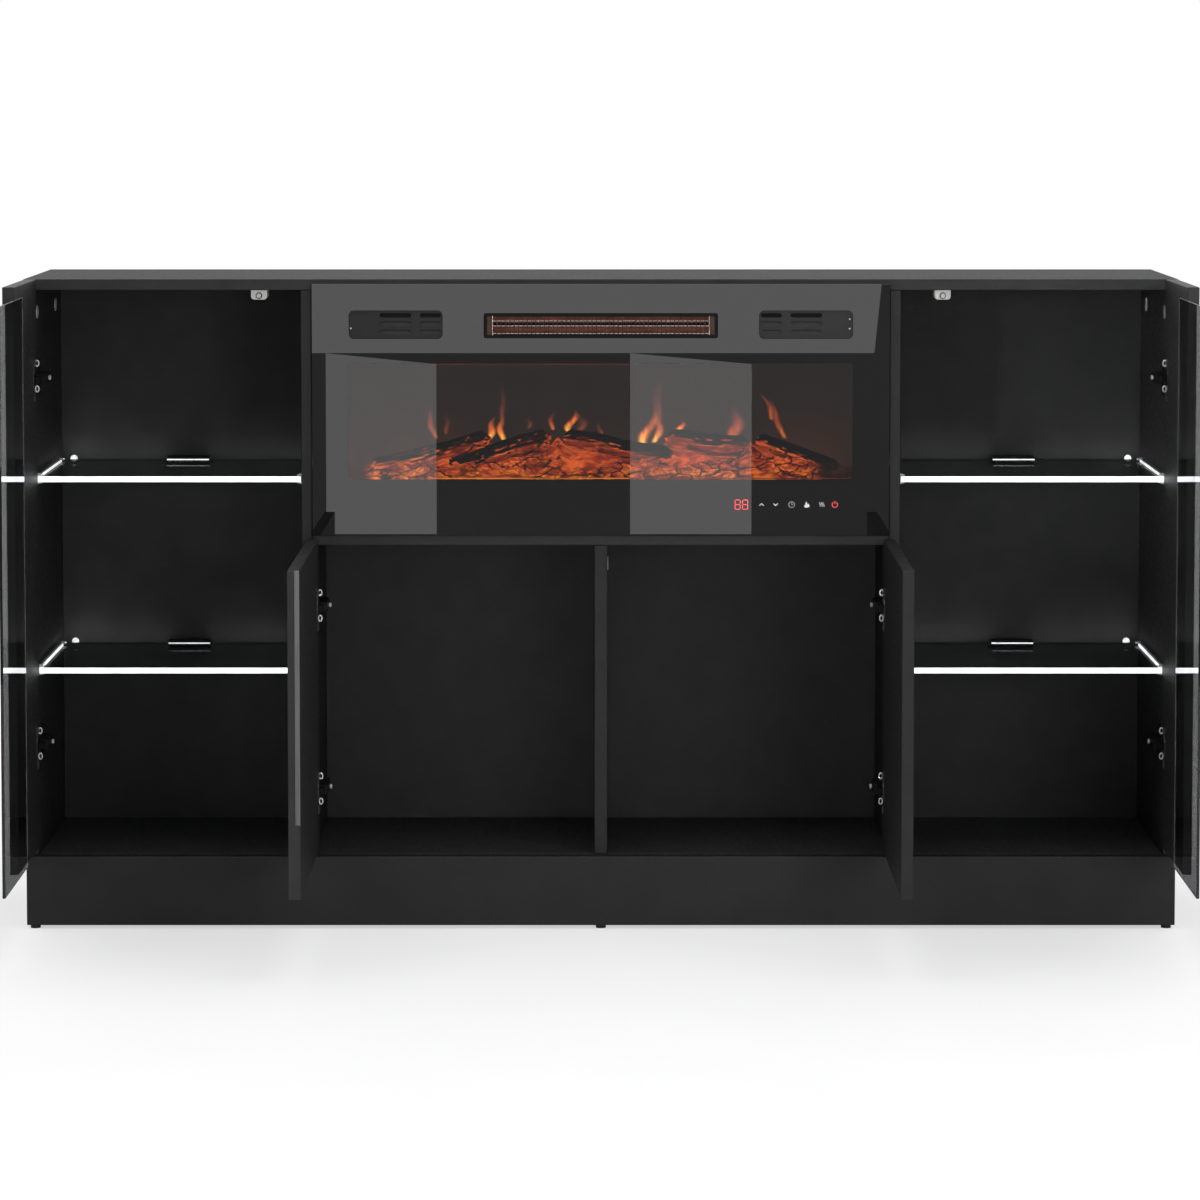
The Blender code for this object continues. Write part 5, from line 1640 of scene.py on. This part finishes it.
@dataclass
class FireFront:
    """The front glass with its clear window, the vents and the heater's grille."""

    window_half: float = 0.349
    window_low: float = 0.6272
    window_high: float = 0.7887
    window_gap: float = 0.00005
    cutter_reach: float = 1.0
    line_radius: float = 0.0007
    line_end_inset: float = 0.004
    line_start: float = -0.234
    line_turn: float = 0.040
    wire_radius: float = 0.0006
    wire_levels: tuple[float, ...] = (0.0064, -0.0005, -0.0112)
    wire_rim: float = 0.004
    end_bar_inset: float = 0.010
    end_bar_share: float = 0.8
    end_bar_lift: float = 1.5
    rim: float = 0.0045
    screw_radius: float = 0.0013
    screw_recess: float = 0.0024
    screw_seat: float = 0.0001
    screw_flank: float = 0.0003
    screw_height: float = 0.0006
    screw_shares: tuple[float, float, float] = (0.95, 0.6, 0.2)
    screw_places: tuple[tuple[Side, float, float], ...] = (
        (Side.LEFT, 0.0025, -0.0052), (Side.RIGHT, 0.0042, -0.0056), (Side.RIGHT, 0.0042, 0.0076),
    )
    slot_columns: tuple[Pair, ...] = ((0.0167, 0.029), (0.0652, 0.044))
    slot_rows: tuple[float, ...] = (0.0127, 0.0012, -0.0103)
    slot_height: float = 0.006
    louvre: float = 0.0006
    louvre_depth: float = 0.0016
    louvre_lap: float = 0.0008

    def printed_glass(self) -> None:
        """Make the black printed glass around the clear window."""
        node = frame["nodes"]["fire_front_glass"]
        low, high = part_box("fire_front_glass")
        data = node.data.copy()
        cutter_draft = Draft().block(
            (-self.window_half, low[1] - self.cutter_reach, self.window_low),
            (self.window_half, high[1] + self.cutter_reach, self.window_high),
        )
        cutter_mesh = bpy.data.meshes.new("window_opening")
        cutter_draft.mesh.to_mesh(cutter_mesh)
        cutter_draft.mesh.free()
        cutter = bpy.data.objects.new("window_opening", cutter_mesh)
        bpy.context.scene.collection.objects.link(cutter)
        whole = bpy.data.objects.new("printed_glass_blank", data)
        bpy.context.scene.collection.objects.link(whole)
        change = whole.modifiers.new("Window", "BOOLEAN")
        change.operation = "DIFFERENCE"
        change.solver = "EXACT"
        change.object = cutter
        graph = bpy.context.evaluated_depsgraph_get()
        cut = bpy.data.meshes.new_from_object(whole.evaluated_get(graph))
        bpy.data.objects.remove(cutter)
        bpy.data.objects.remove(whole)
        settle("printed_front_glass", cut, PRINTED_GLASS, replaces=("fire_front_glass",))

    def window(self) -> None:
        """Make the clear pane in the printed glass and the thin lit line under it."""
        low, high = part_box("fire_front_glass")
        gap = self.window_gap
        Draft().block(
            (-self.window_half + gap, low[1], self.window_low + gap),
            (self.window_half - gap, high[1], self.window_high - gap),
        ).piece("window_pane", WINDOW_GLASS, "black_glass", replaces=("fire_front_glass",))
        y = high[1] + self.line_radius * 2
        line_end = self.window_half - self.line_end_inset
        low_level = self.window_low + self.line_radius * 2
        high_level = self.window_high - self.line_radius * 2
        for name, finish, level, start, end in (
            ("window_lower_line", WINDOW_LINE, low_level, self.line_start, self.line_turn),
            ("window_lower_line_end", UPPER_LINE, low_level, self.line_turn, line_end),
            ("window_upper_line", UPPER_LINE, high_level, self.line_start, self.line_turn),
        ):
            Draft().tube(((start, y, level), (end, y, level)), self.line_radius).piece(
                name, finish, "black_steel", smooth=True
            )

    def vents(self) -> None:
        """Dress the vents and the frame, and make the louvres and the small screws of each vent."""
        dress(BLACK_STEEL, "fire_front_frame")
        for side in Side:
            node = f"{side.word}_vent_insert"
            dress(VENT_PLASTIC, node)
            low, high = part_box(node)
            inner, middle = inner_face(side, node), (low[2] + high[2]) / 2
            for row, offset in enumerate(self.slot_rows):
                for column, (distance, length) in enumerate(self.slot_columns):
                    name = f"{side.word}_louvre_{row}{column}"
                    x = inner + side.value * distance
                    self.louvre_blade(name, x, length, high[1], middle + offset, dark=row == 0)
        for number, (side, inset, offset) in enumerate(self.screw_places, 1):
            low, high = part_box(f"{side.word}_vent_insert")
            x = outer_face(side, f"{side.word}_vent_insert") - side.value * inset
            self.vent_screw(number, (x, low[1], (low[2] + high[2]) / 2 + offset))

    def louvre_blade(
        self, name: str, x: float, length: float, back: float, level: float, dark: bool
    ) -> None:
        """Make the sloping blade behind one slot.

        Args:
            name: The piece's name.
            x: The slot's middle.
            length: The slot's length.
            back: Where the vent's plate ends.
            level: The slot's level.
            dark: Whether it lies in the shade, which its near-black finish paints.
        """
        start, end = back + self.louvre / 2, back + self.louvre_depth
        low = level - self.slot_height / 2 - self.louvre_lap
        high = level + self.slot_height / 2 - self.louvre_lap
        section = ((start, low), (start + self.louvre, low), (end + self.louvre, high), (end, high))
        half = length / 2 + self.louvre_lap
        # The top row's blades get near black: painted shade, as they lie in shadow
        finish = PAINTED_SHADE_BLACK if dark else GREY_LOUVRE
        Draft().prism(section, x - half, x + half, Axis.X).piece(name, finish, "black_steel")

    def vent_screw(self, number: int, seat: Point) -> None:
        """Make one small screw with a near-black ring round it, painted shade in its recess.

        Args:
            number: Its number.
            seat: The point on the vent's plate under its middle.
        """
        outer, radius = self.screw_recess, self.screw_radius
        seat_level, flank, height = -self.screw_seat, self.screw_flank, self.screw_height
        ring = (
            (radius, seat_level), (outer, seat_level), (outer, flank), (radius, flank), (radius, seat_level),
        )
        Draft().turned_ring(ring, seat, (0, -1, 0), SCREW_SIDES).piece(
            f"vent_screw_recess_{number}", PAINTED_SHADE_BLACK, "black_steel", smooth=True
        )
        side, crown, socket = (radius * share for share in self.screw_shares)
        head = ((side, 0.0), (side, flank), (crown, height), (socket, height))
        Draft().lathe(head, seat, (0, -1, 0), SCREW_SIDES).piece(
            f"vent_screw_{number}", BRIGHT_ZINC, "black_steel", smooth=True
        )

    def grille(self) -> None:
        """Dress the grille and weave the bright wires through it."""
        low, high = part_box("heater_grille")
        middle, level = (low[1] + high[1]) / 2, (low[2] + high[2]) / 2
        half_width, half_height = (high[0] - low[0]) / 2, (high[2] - low[2]) / 2
        dress(GrilleFinish(level, half_width - self.rim, half_height - self.rim), "heater_grille")
        reach, rise = half_width - self.wire_rim / 2, half_height - self.wire_rim / 2
        y = middle + self.wire_radius * 2
        for number, offset in enumerate(self.wire_levels, 1):
            half = reach if number < len(self.wire_levels) else high[0] - self.wire_radius
            ends = ((-half, y, level + offset), (half, y, level + offset))
            Draft().tube(ends, self.wire_radius, WIRE_SIDES).piece(
                f"grille_wire_{number}", NICKEL_WIRE, "grille_wire", smooth=True
            )
        y = low[1] + self.wire_radius * self.end_bar_lift
        for side in Side:
            x = side.value * (reach - self.end_bar_inset)
            ends = ((x, y, level - rise), (x, y, level + rise))
            Draft().tube(ends, self.wire_radius * self.end_bar_share, WIRE_SIDES).piece(
                f"{side.word}_grille_end_bar", NICKEL_WIRE, "grille_wire", smooth=True
            )

    def build(self) -> None:
        """Make the front."""
        self.printed_glass()
        self.window()
        self.vents()
        self.grille()
        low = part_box("fire_front_glass")[0]
        board_low, board_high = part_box("control_board")
        ControlMarks(face=low[1], level=(board_low[2] + board_high[2]) / 2).build()
        LOG.info("fireplace front")


@dataclass(frozen=True)
class Log:
    """A split log between two points, given by X, Y and Z, and its radius."""

    name: str
    start: Point
    end: Point
    radius: float
    seed: float


@dataclass(frozen=True)
class Flame:
    """A tongue of light: its foot, height, width, lean to the right at its tip, and kind."""

    x: float
    foot: float
    height: float
    width: float
    lean: float
    kind: FlameFinish


BRIGHT_FLAME = FlameFinish(
    "bright_flame", foot=(1.0, 0.46, 0.07), tip=(0.95, 0.18, 0.03), strength=11.0,
)
SOFT_FLAME = FlameFinish("soft_flame", foot=(0.95, 0.22, 0.05), tip=(0.75, 0.12, 0.04), strength=5.0)
FAINT_FLAME = FlameFinish("faint_flame", foot=(0.50, 0.12, 0.05), tip=(0.34, 0.09, 0.05), strength=3.2)

BARK = EmberFinish(
    "lit_log_bark", stretch=(1.0, 1.0, 0.22), crack_scale=85.0, crack_width=0.13,
    char_from=(0.42, 0.74), glow_levels=(0.635, 0.690), low_colour=(0.95, 0.17, 0.020),
    high_colour=(0.82, 0.110, 0.028), deep_colour=(0.45, 0.040, 0.012), strength=4.8,
)
COALS = EmberFinish(
    "lit_ember_bed", stretch=(0.55, 1.0, 1.0), crack_scale=62.0, crack_width=0.115,
    char_from=(1.25, 1.60), glow_levels=(0.622, 0.650), low_colour=(1.00, 0.24, 0.015),
    high_colour=(0.88, 0.130, 0.022), deep_colour=(0.55, 0.050, 0.011), strength=5.2,
)


@dataclass
class Fire:
    """The logs on their bed, the flames behind them, and the parts that make light and heat."""

    front: float
    floor: float
    screen: float
    # The logs: their ends, measured from the fireplace's front and floor, and their radius
    log_plan: tuple[tuple[str, Point, Point, float], ...] = (
        ("far_left", (-0.318, 0.044, 0.018), (-0.156, 0.060, 0.057), 0.0155),
        ("left", (-0.216, 0.038, 0.020), (-0.072, 0.054, 0.059), 0.0165),
        ("middle", (-0.052, 0.058, 0.060), (0.102, 0.046, 0.034), 0.0160),
        ("right", (0.092, 0.058, 0.059), (0.206, 0.048, 0.048), 0.0165),
        ("far_right", (0.216, 0.058, 0.055), (0.330, 0.046, 0.019), 0.0160),
    )
    seed_step: float = 7.3
    rings: int = 56
    sides: int = 48
    # The relief of their bark, by the depth of each layer and by its waves around and along a log
    bark_depth: float = 0.10
    body_share: float = 1.8
    body_waves: Pair = (0.9, 3.0)
    ridge_share: float = 0.9
    ridge_waves: Pair = (3.2, 2.0)
    crack_depth: float = 0.09
    crack_waves: Pair = (5.5, 4.5)
    crack_sharpness: float = 4.0
    facets: int = 3
    facet_depth: float = 0.05
    wave_length: float = 0.14
    # Their bend and their broken ends, as shares of the radius
    bend: float = 0.35
    bend_waves: float = 2.2
    bend_layers: Pair = (0.0, 5.0)
    end_rounding: float = 2.2
    end_share: float = 0.30
    jag: float = 0.5
    jag_waves: float = 2.0
    # The bed of coals: its slope up to its crest, its swell, and the coals' own size and relief
    columns: int = 300
    rows: int = 56
    bed_inset: float = 0.008
    bed_foot: float = 0.009
    bed_least: float = 0.002
    bed_skirt: float = 0.0003
    bed_slope: float = 2.9
    bed_curve: float = 0.75
    swell_share: float = 0.16
    swell_waves: Pair = (30.0, 4.0)
    coal_share: float = 0.11
    coal_pitch: Pair = (38.0, 6.5)
    coal_layer: float = 0.5
    coal_gap: float = 3.2
    coal_middle: float = 0.7
    crest_slack: float = 1e-6
    crest: tuple[Pair, ...] = (
        (-0.3785, 0.010), (-0.335, 0.016), (-0.310, 0.027), (-0.270, 0.037), (-0.150, 0.043), (-0.080, 0.043),
        (-0.061, 0.057), (-0.044, 0.042), (0.088, 0.041), (0.100, 0.048), (0.120, 0.043), (0.198, 0.042),
        (0.212, 0.052), (0.226, 0.042), (0.280, 0.037), (0.325, 0.023), (0.3785, 0.012),
    )
    # The flames: their width at the foot and over it, and how they lean and sway
    flame_columns: int = 8
    flame_rows: int = 20
    flame_gap: float = 0.0012
    flame_layers: int = 3
    flame_foot: float = 0.55
    flame_belly: float = 0.9
    flame_tip: float = 0.0006
    tip_curve: float = 3
    lean_curve: float = 1.3
    sway_share: float = 0.18
    sway_waves: float = 7
    sway_step: float = 2

    def logs(self) -> tuple[Log, ...]:
        """The logs, end over end along the bed."""
        return tuple(
            Log(
                name,
                (start[0], self.front + start[1], self.floor + start[2]),
                (end[0], self.front + end[1], self.floor + end[2]),
                radius,
                number * self.seed_step,
            )
            for number, (name, start, end, radius) in enumerate(self.log_plan, 1)
        )

    def bark_radius(self, log: Log, angle: float, share: float) -> float:
        """The radius of a log at one point of its bark.

        Args:
            log: The log.
            angle: The angle around it.
            share: How many wave lengths along it the point is.

        Returns:
            The radius.
        """
        around = Vector((math.cos(angle), math.sin(angle), 0.0))

        def layer(waves: Pair, number: int) -> float:
            """One layer of the bark's relief."""
            along = Vector((0, 0, share * waves[1] + log.seed * number))
            return noise.noise(around * waves[0] + along)

        body, ridge = layer(self.body_waves, 1), layer(self.ridge_waves, 2)
        crack = 1.0 - abs(layer(self.crack_waves, 3)) * self.crack_sharpness
        facet = self.facet_depth * math.cos(self.facets * angle + log.seed)
        swell = 1.0 + self.bark_depth * (body * self.body_share + ridge * self.ridge_share) + facet
        return log.radius * (swell - self.crack_depth * max(0.0, crack))

    def log_piece(self, log: Log) -> None:
        """Make one log, with its bark's ridges and cracks and its broken ends.

        Args:
            log: The log.
        """
        draft = Draft()
        start, end = Vector(log.start), Vector(log.end)
        length = (end - start).length
        rings = []
        for ring in range(self.rings + 1):
            share = ring / self.rings
            from_end = min(share, 1 - share) * length / log.radius
            close = math.sqrt(min(1.0, max(0.0, from_end * self.end_rounding)))
            bend = Vector([
                noise.noise(Vector((share * self.bend_waves, log.seed, layer)))
                for layer in self.bend_layers
            ]) * log.radius * self.bend
            points = []
            for angle in turns(self.sides):
                bark = self.bark_radius(log, angle, share * length / self.wave_length)
                radius = bark * (self.end_share + (1 - self.end_share) * close)
                across, up = math.cos(angle) * self.jag_waves, math.sin(angle) * self.jag_waves
                jag = noise.noise(Vector((across, up, log.seed + ring)))
                along = (share - 0.5) * length + (1 - close) * jag * log.radius * self.jag
                points.append(draft.mesh.verts.new((
                    bend.x + radius * math.cos(angle), bend.y + radius * math.sin(angle), along
                )))
            rings.append(points)
        faces = draft.skin(rings, closed=True)
        faces += [draft.mesh.faces.new(rings[0]), draft.mesh.faces.new(rings[-1])]
        bmesh.ops.recalc_face_normals(draft.mesh, faces=faces)
        piece = draft.piece(f"log_{log.name}", BARK, "moulded_logs", replaces=("log_bed",), smooth=True)
        turn = (end - start).to_track_quat("Z", "Y").to_matrix().to_4x4()
        piece.matrix_world = Matrix.Translation((start + end) / 2) @ turn

    def bed_rise(self, x: float, share: float) -> float:
        """The height of the bed over its plate.

        Args:
            x: The place along it.
            share: How far from its front edge to its back edge the place is.

        Returns:
            The height.
        """
        left, right = next(
            pair for pair in zip(self.crest, self.crest[1:]) if x <= pair[1][0] + self.crest_slack
        )
        crest = left[1] + (right[1] - left[1]) * (x - left[0]) / (right[0] - left[0])
        climb = min(1.0, share * self.bed_slope) ** self.bed_curve
        slope = self.bed_foot + (crest - self.bed_foot) * climb
        place = Vector((x * self.swell_waves[0], share * self.swell_waves[1], 0.0))
        swell = crest * self.swell_share * noise.noise(place)
        cell = Vector((x * self.coal_pitch[0], share * self.coal_pitch[1], self.coal_layer))
        nearest, second = noise.voronoi(cell)[0][:2]
        plate = min(1.0, (second - nearest) * self.coal_gap)
        return max(self.bed_least, slope + swell + (plate - self.coal_middle) * crest * self.coal_share)

    def bed(self) -> None:
        """Make the moulded bed of coals."""
        low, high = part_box("log_bed")
        back = self.screen - self.bed_inset
        draft = Draft()
        rows = []
        for row in range(self.rows + 1):
            share = row / self.rows
            y = low[1] + (back - low[1]) * share
            points = []
            for column in range(self.columns + 1):
                x = low[0] + (high[0] - low[0]) * column / self.columns
                points.append(draft.mesh.verts.new((x, y, self.floor + self.bed_rise(x, share))))
            rows.append(points)
        foot = self.floor + self.bed_skirt
        front, rear = (
            [draft.mesh.verts.new((vert.co.x, vert.co.y, foot)) for vert in row]
            for row in (rows[0], rows[-1])
        )
        faces = draft.skin([front, *rows, rear, front], closed=False)
        for end in (0, -1):
            side = [row[end] for row in (front, *rows, rear)]
            faces.append(draft.mesh.faces.new(side))
        bmesh.ops.recalc_face_normals(draft.mesh, faces=faces)
        draft.piece("ember_bed", COALS, "moulded_logs", replaces=("log_bed",), smooth=True)

    def flames(self) -> None:
        """Make the tongues of light that the turning rod throws on the screen."""
        plan = (
            Flame(-0.2350, 0.674, 0.050, 0.014, -0.012, SOFT_FLAME),
            Flame(-0.2165, 0.680, 0.034, 0.012, -0.004, FAINT_FLAME),
            Flame(-0.1590, 0.671, 0.038, 0.016, 0.012, BRIGHT_FLAME),
            Flame(-0.1400, 0.671, 0.040, 0.015, -0.001, BRIGHT_FLAME),
            Flame(-0.1370, 0.692, 0.072, 0.013, -0.007, FAINT_FLAME),
            Flame(-0.1020, 0.688, 0.020, 0.012, 0.001, FAINT_FLAME),
            Flame(-0.0700, 0.686, 0.030, 0.012, 0.002, SOFT_FLAME),
            Flame(-0.0450, 0.684, 0.034, 0.018, 0.012, BRIGHT_FLAME),
            Flame(-0.0300, 0.683, 0.032, 0.024, 0.006, FAINT_FLAME),
            Flame(-0.0010, 0.680, 0.022, 0.012, -0.001, FAINT_FLAME),
            Flame(0.0610, 0.662, 0.058, 0.024, 0.017, BRIGHT_FLAME),
            Flame(0.0780, 0.668, 0.046, 0.018, 0.008, BRIGHT_FLAME),
            Flame(0.0770, 0.692, 0.082, 0.022, 0.014, FAINT_FLAME),
            Flame(0.1140, 0.682, 0.020, 0.016, 0.000, BRIGHT_FLAME),
            Flame(0.1860, 0.670, 0.056, 0.030, 0.009, SOFT_FLAME),
            Flame(0.1850, 0.668, 0.034, 0.020, 0.006, SOFT_FLAME),
            Flame(0.2590, 0.674, 0.066, 0.014, -0.028, SOFT_FLAME),
            Flame(0.2440, 0.700, 0.046, 0.012, -0.022, SOFT_FLAME),
        )
        for number, flame in enumerate(plan, 1):
            self.flame(number, flame)

    def flame(self, number: int, flame: Flame) -> None:
        """Make one tongue as a thin bowed film in front of the screen.

        Args:
            number: Its number from the left.
            flame: Its shape.
        """
        draft = Draft()
        layer = draft.mesh.loops.layers.uv.new("across_and_along")
        rows = []
        for row in range(self.flame_rows + 1):
            share = row / self.flame_rows
            belly = self.flame_foot + self.flame_belly * share * (1 - share) * 2
            width = flame.width * belly * (1 - share ** self.tip_curve) + self.flame_tip
            turn = share * self.sway_waves + number * self.sway_step
            wave = flame.width * self.sway_share * math.sin(turn)
            sway = flame.lean * share ** self.lean_curve + wave
            points = []
            for column in range(self.flame_columns + 1):
                across = column / self.flame_columns - 0.5
                bow = self.flame_gap * (1 - 4 * across * across) / 2
                y = self.screen - self.flame_gap * (1 + number % self.flame_layers) - bow
                points.append(draft.mesh.verts.new((
                    flame.x + sway + across * width, y, flame.foot + flame.height * share
                )))
            rows.append(points)
        for index, face in enumerate(draft.skin(rows, closed=False)):
            row, column = divmod(index, self.flame_columns)
            corners = ((column, row), (column + 1, row), (column + 1, row + 1), (column, row + 1))
            for loop, (across, along) in zip(face.loops, corners):
                loop[layer].uv = (across / self.flame_columns, along / self.flame_rows)
        draft.piece(f"flame_{number:02d}", flame.kind, "flame_diffuser", smooth=True)

    def hidden_parts(self) -> None:
        """Dress the case and what is inside and behind it."""
        dress(BLACK_STEEL, "firebox_case")
        dress(GALVANISED, "blower_housing")
        dress(ALUMINIUM, "blower_wheel", "flame_rod")
        dress(ScreenFinish(), "flame_screen")
        dress(ElementFinish(), "heater_element")
        dress(CIRCUIT, "control_board")

    def build(self) -> None:
        """Make the fire."""
        for log in self.logs():
            self.log_piece(log)
        self.bed()
        self.flames()
        self.hidden_parts()
        LOG.info("fire")


@dataclass
class Studio:
    """The camera, the lights, the floor and the white surroundings."""

    front: float
    face: float
    distance: float = 6.4362
    eye_height: float = 1.1917
    lens: float = 139.556
    pitch: float = 4.2838
    shift: Pair = (-0.0007, -0.15)
    sensor: float = 36.0
    sight: Pair = (0.05, 200.0)
    room_from: Pair = (-0.9, 0.6)
    room_strength: Pair = (0.40, 1.0)
    floor_radius: float = 3.5
    floor_sides: int = 96
    floor_clouds: float = 3.0
    floor_shades: tuple[Colour, Colour] = ((0.86, 0.86, 0.86), (0.90, 0.90, 0.90))
    shadow_reach: Pair = (0.9, 2.6)
    shadow_fade: Pair = (0.55, 1.0)
    card_distance: float = 5.0
    card_clouds: float = 0.5
    card_strength: float = 2.2
    card_dimming: float = 0.97
    aim: Point = (0.0, 0.2, 0.5)

    def camera(self) -> None:
        """Place the camera, level with the middle of the fronts and a little over the top."""
        data = bpy.data.cameras.new("photograph_view")
        data.lens = self.lens
        data.sensor_width = self.sensor
        data.shift_x, data.shift_y = self.shift
        data.clip_start, data.clip_end = self.sight
        obj = bpy.data.objects.new("photograph_view", data)
        obj.location = (0.0, self.front - self.distance, self.eye_height)
        obj.rotation_euler = (math.radians(90.0 - self.pitch), 0.0, 0.0)
        bpy.context.scene.collection.objects.link(obj)
        bpy.context.scene.camera = obj

    def surroundings(self) -> None:
        """Make a white room that is dimmer in front of the object than behind it."""
        world = bpy.data.worlds.new("studio")
        bpy.context.scene.world = world
        world.use_nodes = True
        nodes, links = world.node_tree.nodes, world.node_tree.links
        sky = nodes["Background"]
        place = nodes.new("ShaderNodeTexCoord")
        parts = nodes.new("ShaderNodeSeparateXYZ")
        links.new(place.outputs["Generated"], parts.inputs[0])
        room = nodes.new("ShaderNodeMapRange")
        room.interpolation_type = "SMOOTHSTEP"
        for index, value in enumerate((*self.room_from, *self.room_strength), 1):
            room.inputs[index].default_value = value
        links.new(parts.outputs["Y"], room.inputs["Value"])
        rays = nodes.new("ShaderNodeLightPath")
        seen = nodes.new("ShaderNodeMath")
        seen.operation = "MAXIMUM"
        links.new(rays.outputs["Is Camera Ray"], seen.inputs[0])
        links.new(rays.outputs["Is Transmission Ray"], seen.inputs[1])
        level = nodes.new("ShaderNodeMath")
        level.operation = "MAXIMUM"
        links.new(room.outputs["Result"], level.inputs[0])
        links.new(seen.outputs[0], level.inputs[1])
        links.new(level.outputs[0], sky.inputs["Strength"])
        sky.inputs["Color"].default_value = (*WHITE, 1.0)

    def floor(self) -> None:
        """Lay the pale floor, which keeps a soft shadow near the object and is white farther off."""
        recipe = Recipe("pale_floor")
        place = recipe.place()
        length = recipe.node("VectorMath", {0: place}, operation="LENGTH").outputs["Value"]
        far = recipe.span(length, self.shadow_reach, self.shadow_fade)
        seen = recipe.node("LightPath", {}).outputs["Is Camera Ray"]
        cloud = recipe.noise(place, self.floor_clouds, detail=4.0)
        recipe.finish(
            Base_Color=recipe.shades(cloud, *self.floor_shades),
            Roughness=0.8,
            Specular_IOR_Level=0.1,
        )
        white = recipe.node("Emission", {"Color": WHITE, "Strength": 1.0}).outputs[0]
        share = recipe.math("MULTIPLY", far, seen)
        blend = recipe.node("MixShader", {0: share, 1: recipe.shader.outputs[0], 2: white})
        recipe.feed(recipe.output.inputs["Surface"], blend.outputs[0])
        rim = [(x, y, 0.0) for x, y in arc((0.0, 0.0), self.floor_radius, 0, 360, self.floor_sides)[:-1]]
        data = bpy.data.meshes.new("floor")
        data.from_pydata(rim, [], [tuple(range(len(rim)))])
        data.materials.append(recipe.material)
        obj = bpy.data.objects.new("floor", data)
        bpy.context.scene.collection.objects.link(obj)

    def cards(self) -> None:
        """Stand up the three lit cards that the front glass reflects."""
        # Each card as it shows in the glass from the camera, by X and Z on the glass
        outlines = {
            "upper_card": ((-0.4000, 0.8990), (0.3885, 0.8990), (0.3787, 0.8030), (-0.4000, 0.8030)),
            "left_card": (
                (-0.3810, 0.8028), (-0.2279, 0.7877), (-0.2279, 0.5512),
                (-0.3740, 0.5512), (-0.3740, 0.5762), (-0.3810, 0.5762),
            ),
            "right_card": ((0.0406, 0.8028), (0.2090, 0.7877), (0.2090, 0.5512), (0.0406, 0.5512)),
        }
        reach = self.card_distance / (self.distance + self.face - self.front)
        recipe = Recipe("card_light")
        cloud = recipe.noise(recipe.place(), self.card_clouds, detail=2.0)
        strength = (self.card_strength * self.card_dimming, self.card_strength)
        recipe.finish(
            Base_Color=BLACK,
            Emission_Color=WHITE,
            Emission_Strength=recipe.span(cloud, CLOUD_RANGE, strength),
        )
        for name, outline in outlines.items():
            points = [
                (x * (1 + reach), self.face - self.card_distance, z + (z - self.eye_height) * reach)
                for x, z in outline
            ]
            data = bpy.data.meshes.new(name)
            data.from_pydata(points, [], [tuple(range(len(points)))])
            data.materials.append(recipe.material)
            obj = bpy.data.objects.new(name, data)
            obj.visible_camera = False
            obj.visible_diffuse = False
            obj.visible_shadow = False
            obj.visible_transmission = False
            bpy.context.scene.collection.objects.link(obj)

    def lights(self) -> tuple[SoftLight, ...]:
        """The lights over, beside and in front of the object, and two narrow ones into its bays."""
        bay, low_bay = (0.74, 0.1, 0.74), (0.0, 0.3, 0.30)
        return (
            SoftLight("overhead_light", (0.0, -0.8, 3.4), self.aim, (3.2, 2.0), 45.0, mirrored=True),
            SoftLight("left_light", (-3.2, -2.6, 2.2), self.aim, (1.6, 1.6), 18.0, mirrored=True),
            SoftLight("right_light", (3.2, -2.6, 2.2), self.aim, (1.6, 1.6), 18.0, mirrored=True),
            SoftLight("right_front_light", (1.5, -4.6, 0.9), self.aim, (1.2, 1.2), 48.0, mirrored=True),
            SoftLight("left_front_light", (-1.5, -4.6, 0.9), self.aim, (1.2, 1.2), 9.0, mirrored=True),
            SoftLight("right_bay_light", (-1.6, -4.2, 1.1), bay, (0.4, 0.4), 0.55, cone=8.0),
            SoftLight("low_bay_light", (0.0, -4.4, 0.45), low_bay, (0.4, 0.3), 0.6, cone=16.0),
        )

    def build(self) -> None:
        """Make the studio."""
        bpy.context.scene.view_settings.view_transform = "Standard"
        self.camera()
        self.surroundings()
        self.floor()
        self.cards()
        for light in self.lights():
            light.hang()
        LOG.info("studio")


def main() -> None:
    """Build every part of the scene in order, placing them by the boxes of a few solids."""
    logging.basicConfig(level=logging.INFO, format="%(name)s: %(message)s")
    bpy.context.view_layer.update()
    carcass_front = float(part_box("top_board")[0][1])
    glass_face = float(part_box("fire_front_glass")[0][1])
    fire_floor = float(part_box("log_bed")[0][2])
    screen_front = float(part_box("flame_screen")[0][1])
    Studio(front=carcass_front, face=glass_face).build()
    Carcass().build()
    for side, place in itertools.product(Side, Level):
        GlassShelf(side, place).build()
    Doors().build()
    FireFront().build()
    Fire(front=carcass_front, floor=fire_floor, screen=screen_front).build()
    bpy.context.view_layer.update()


if __name__ == "__main__":
    main()
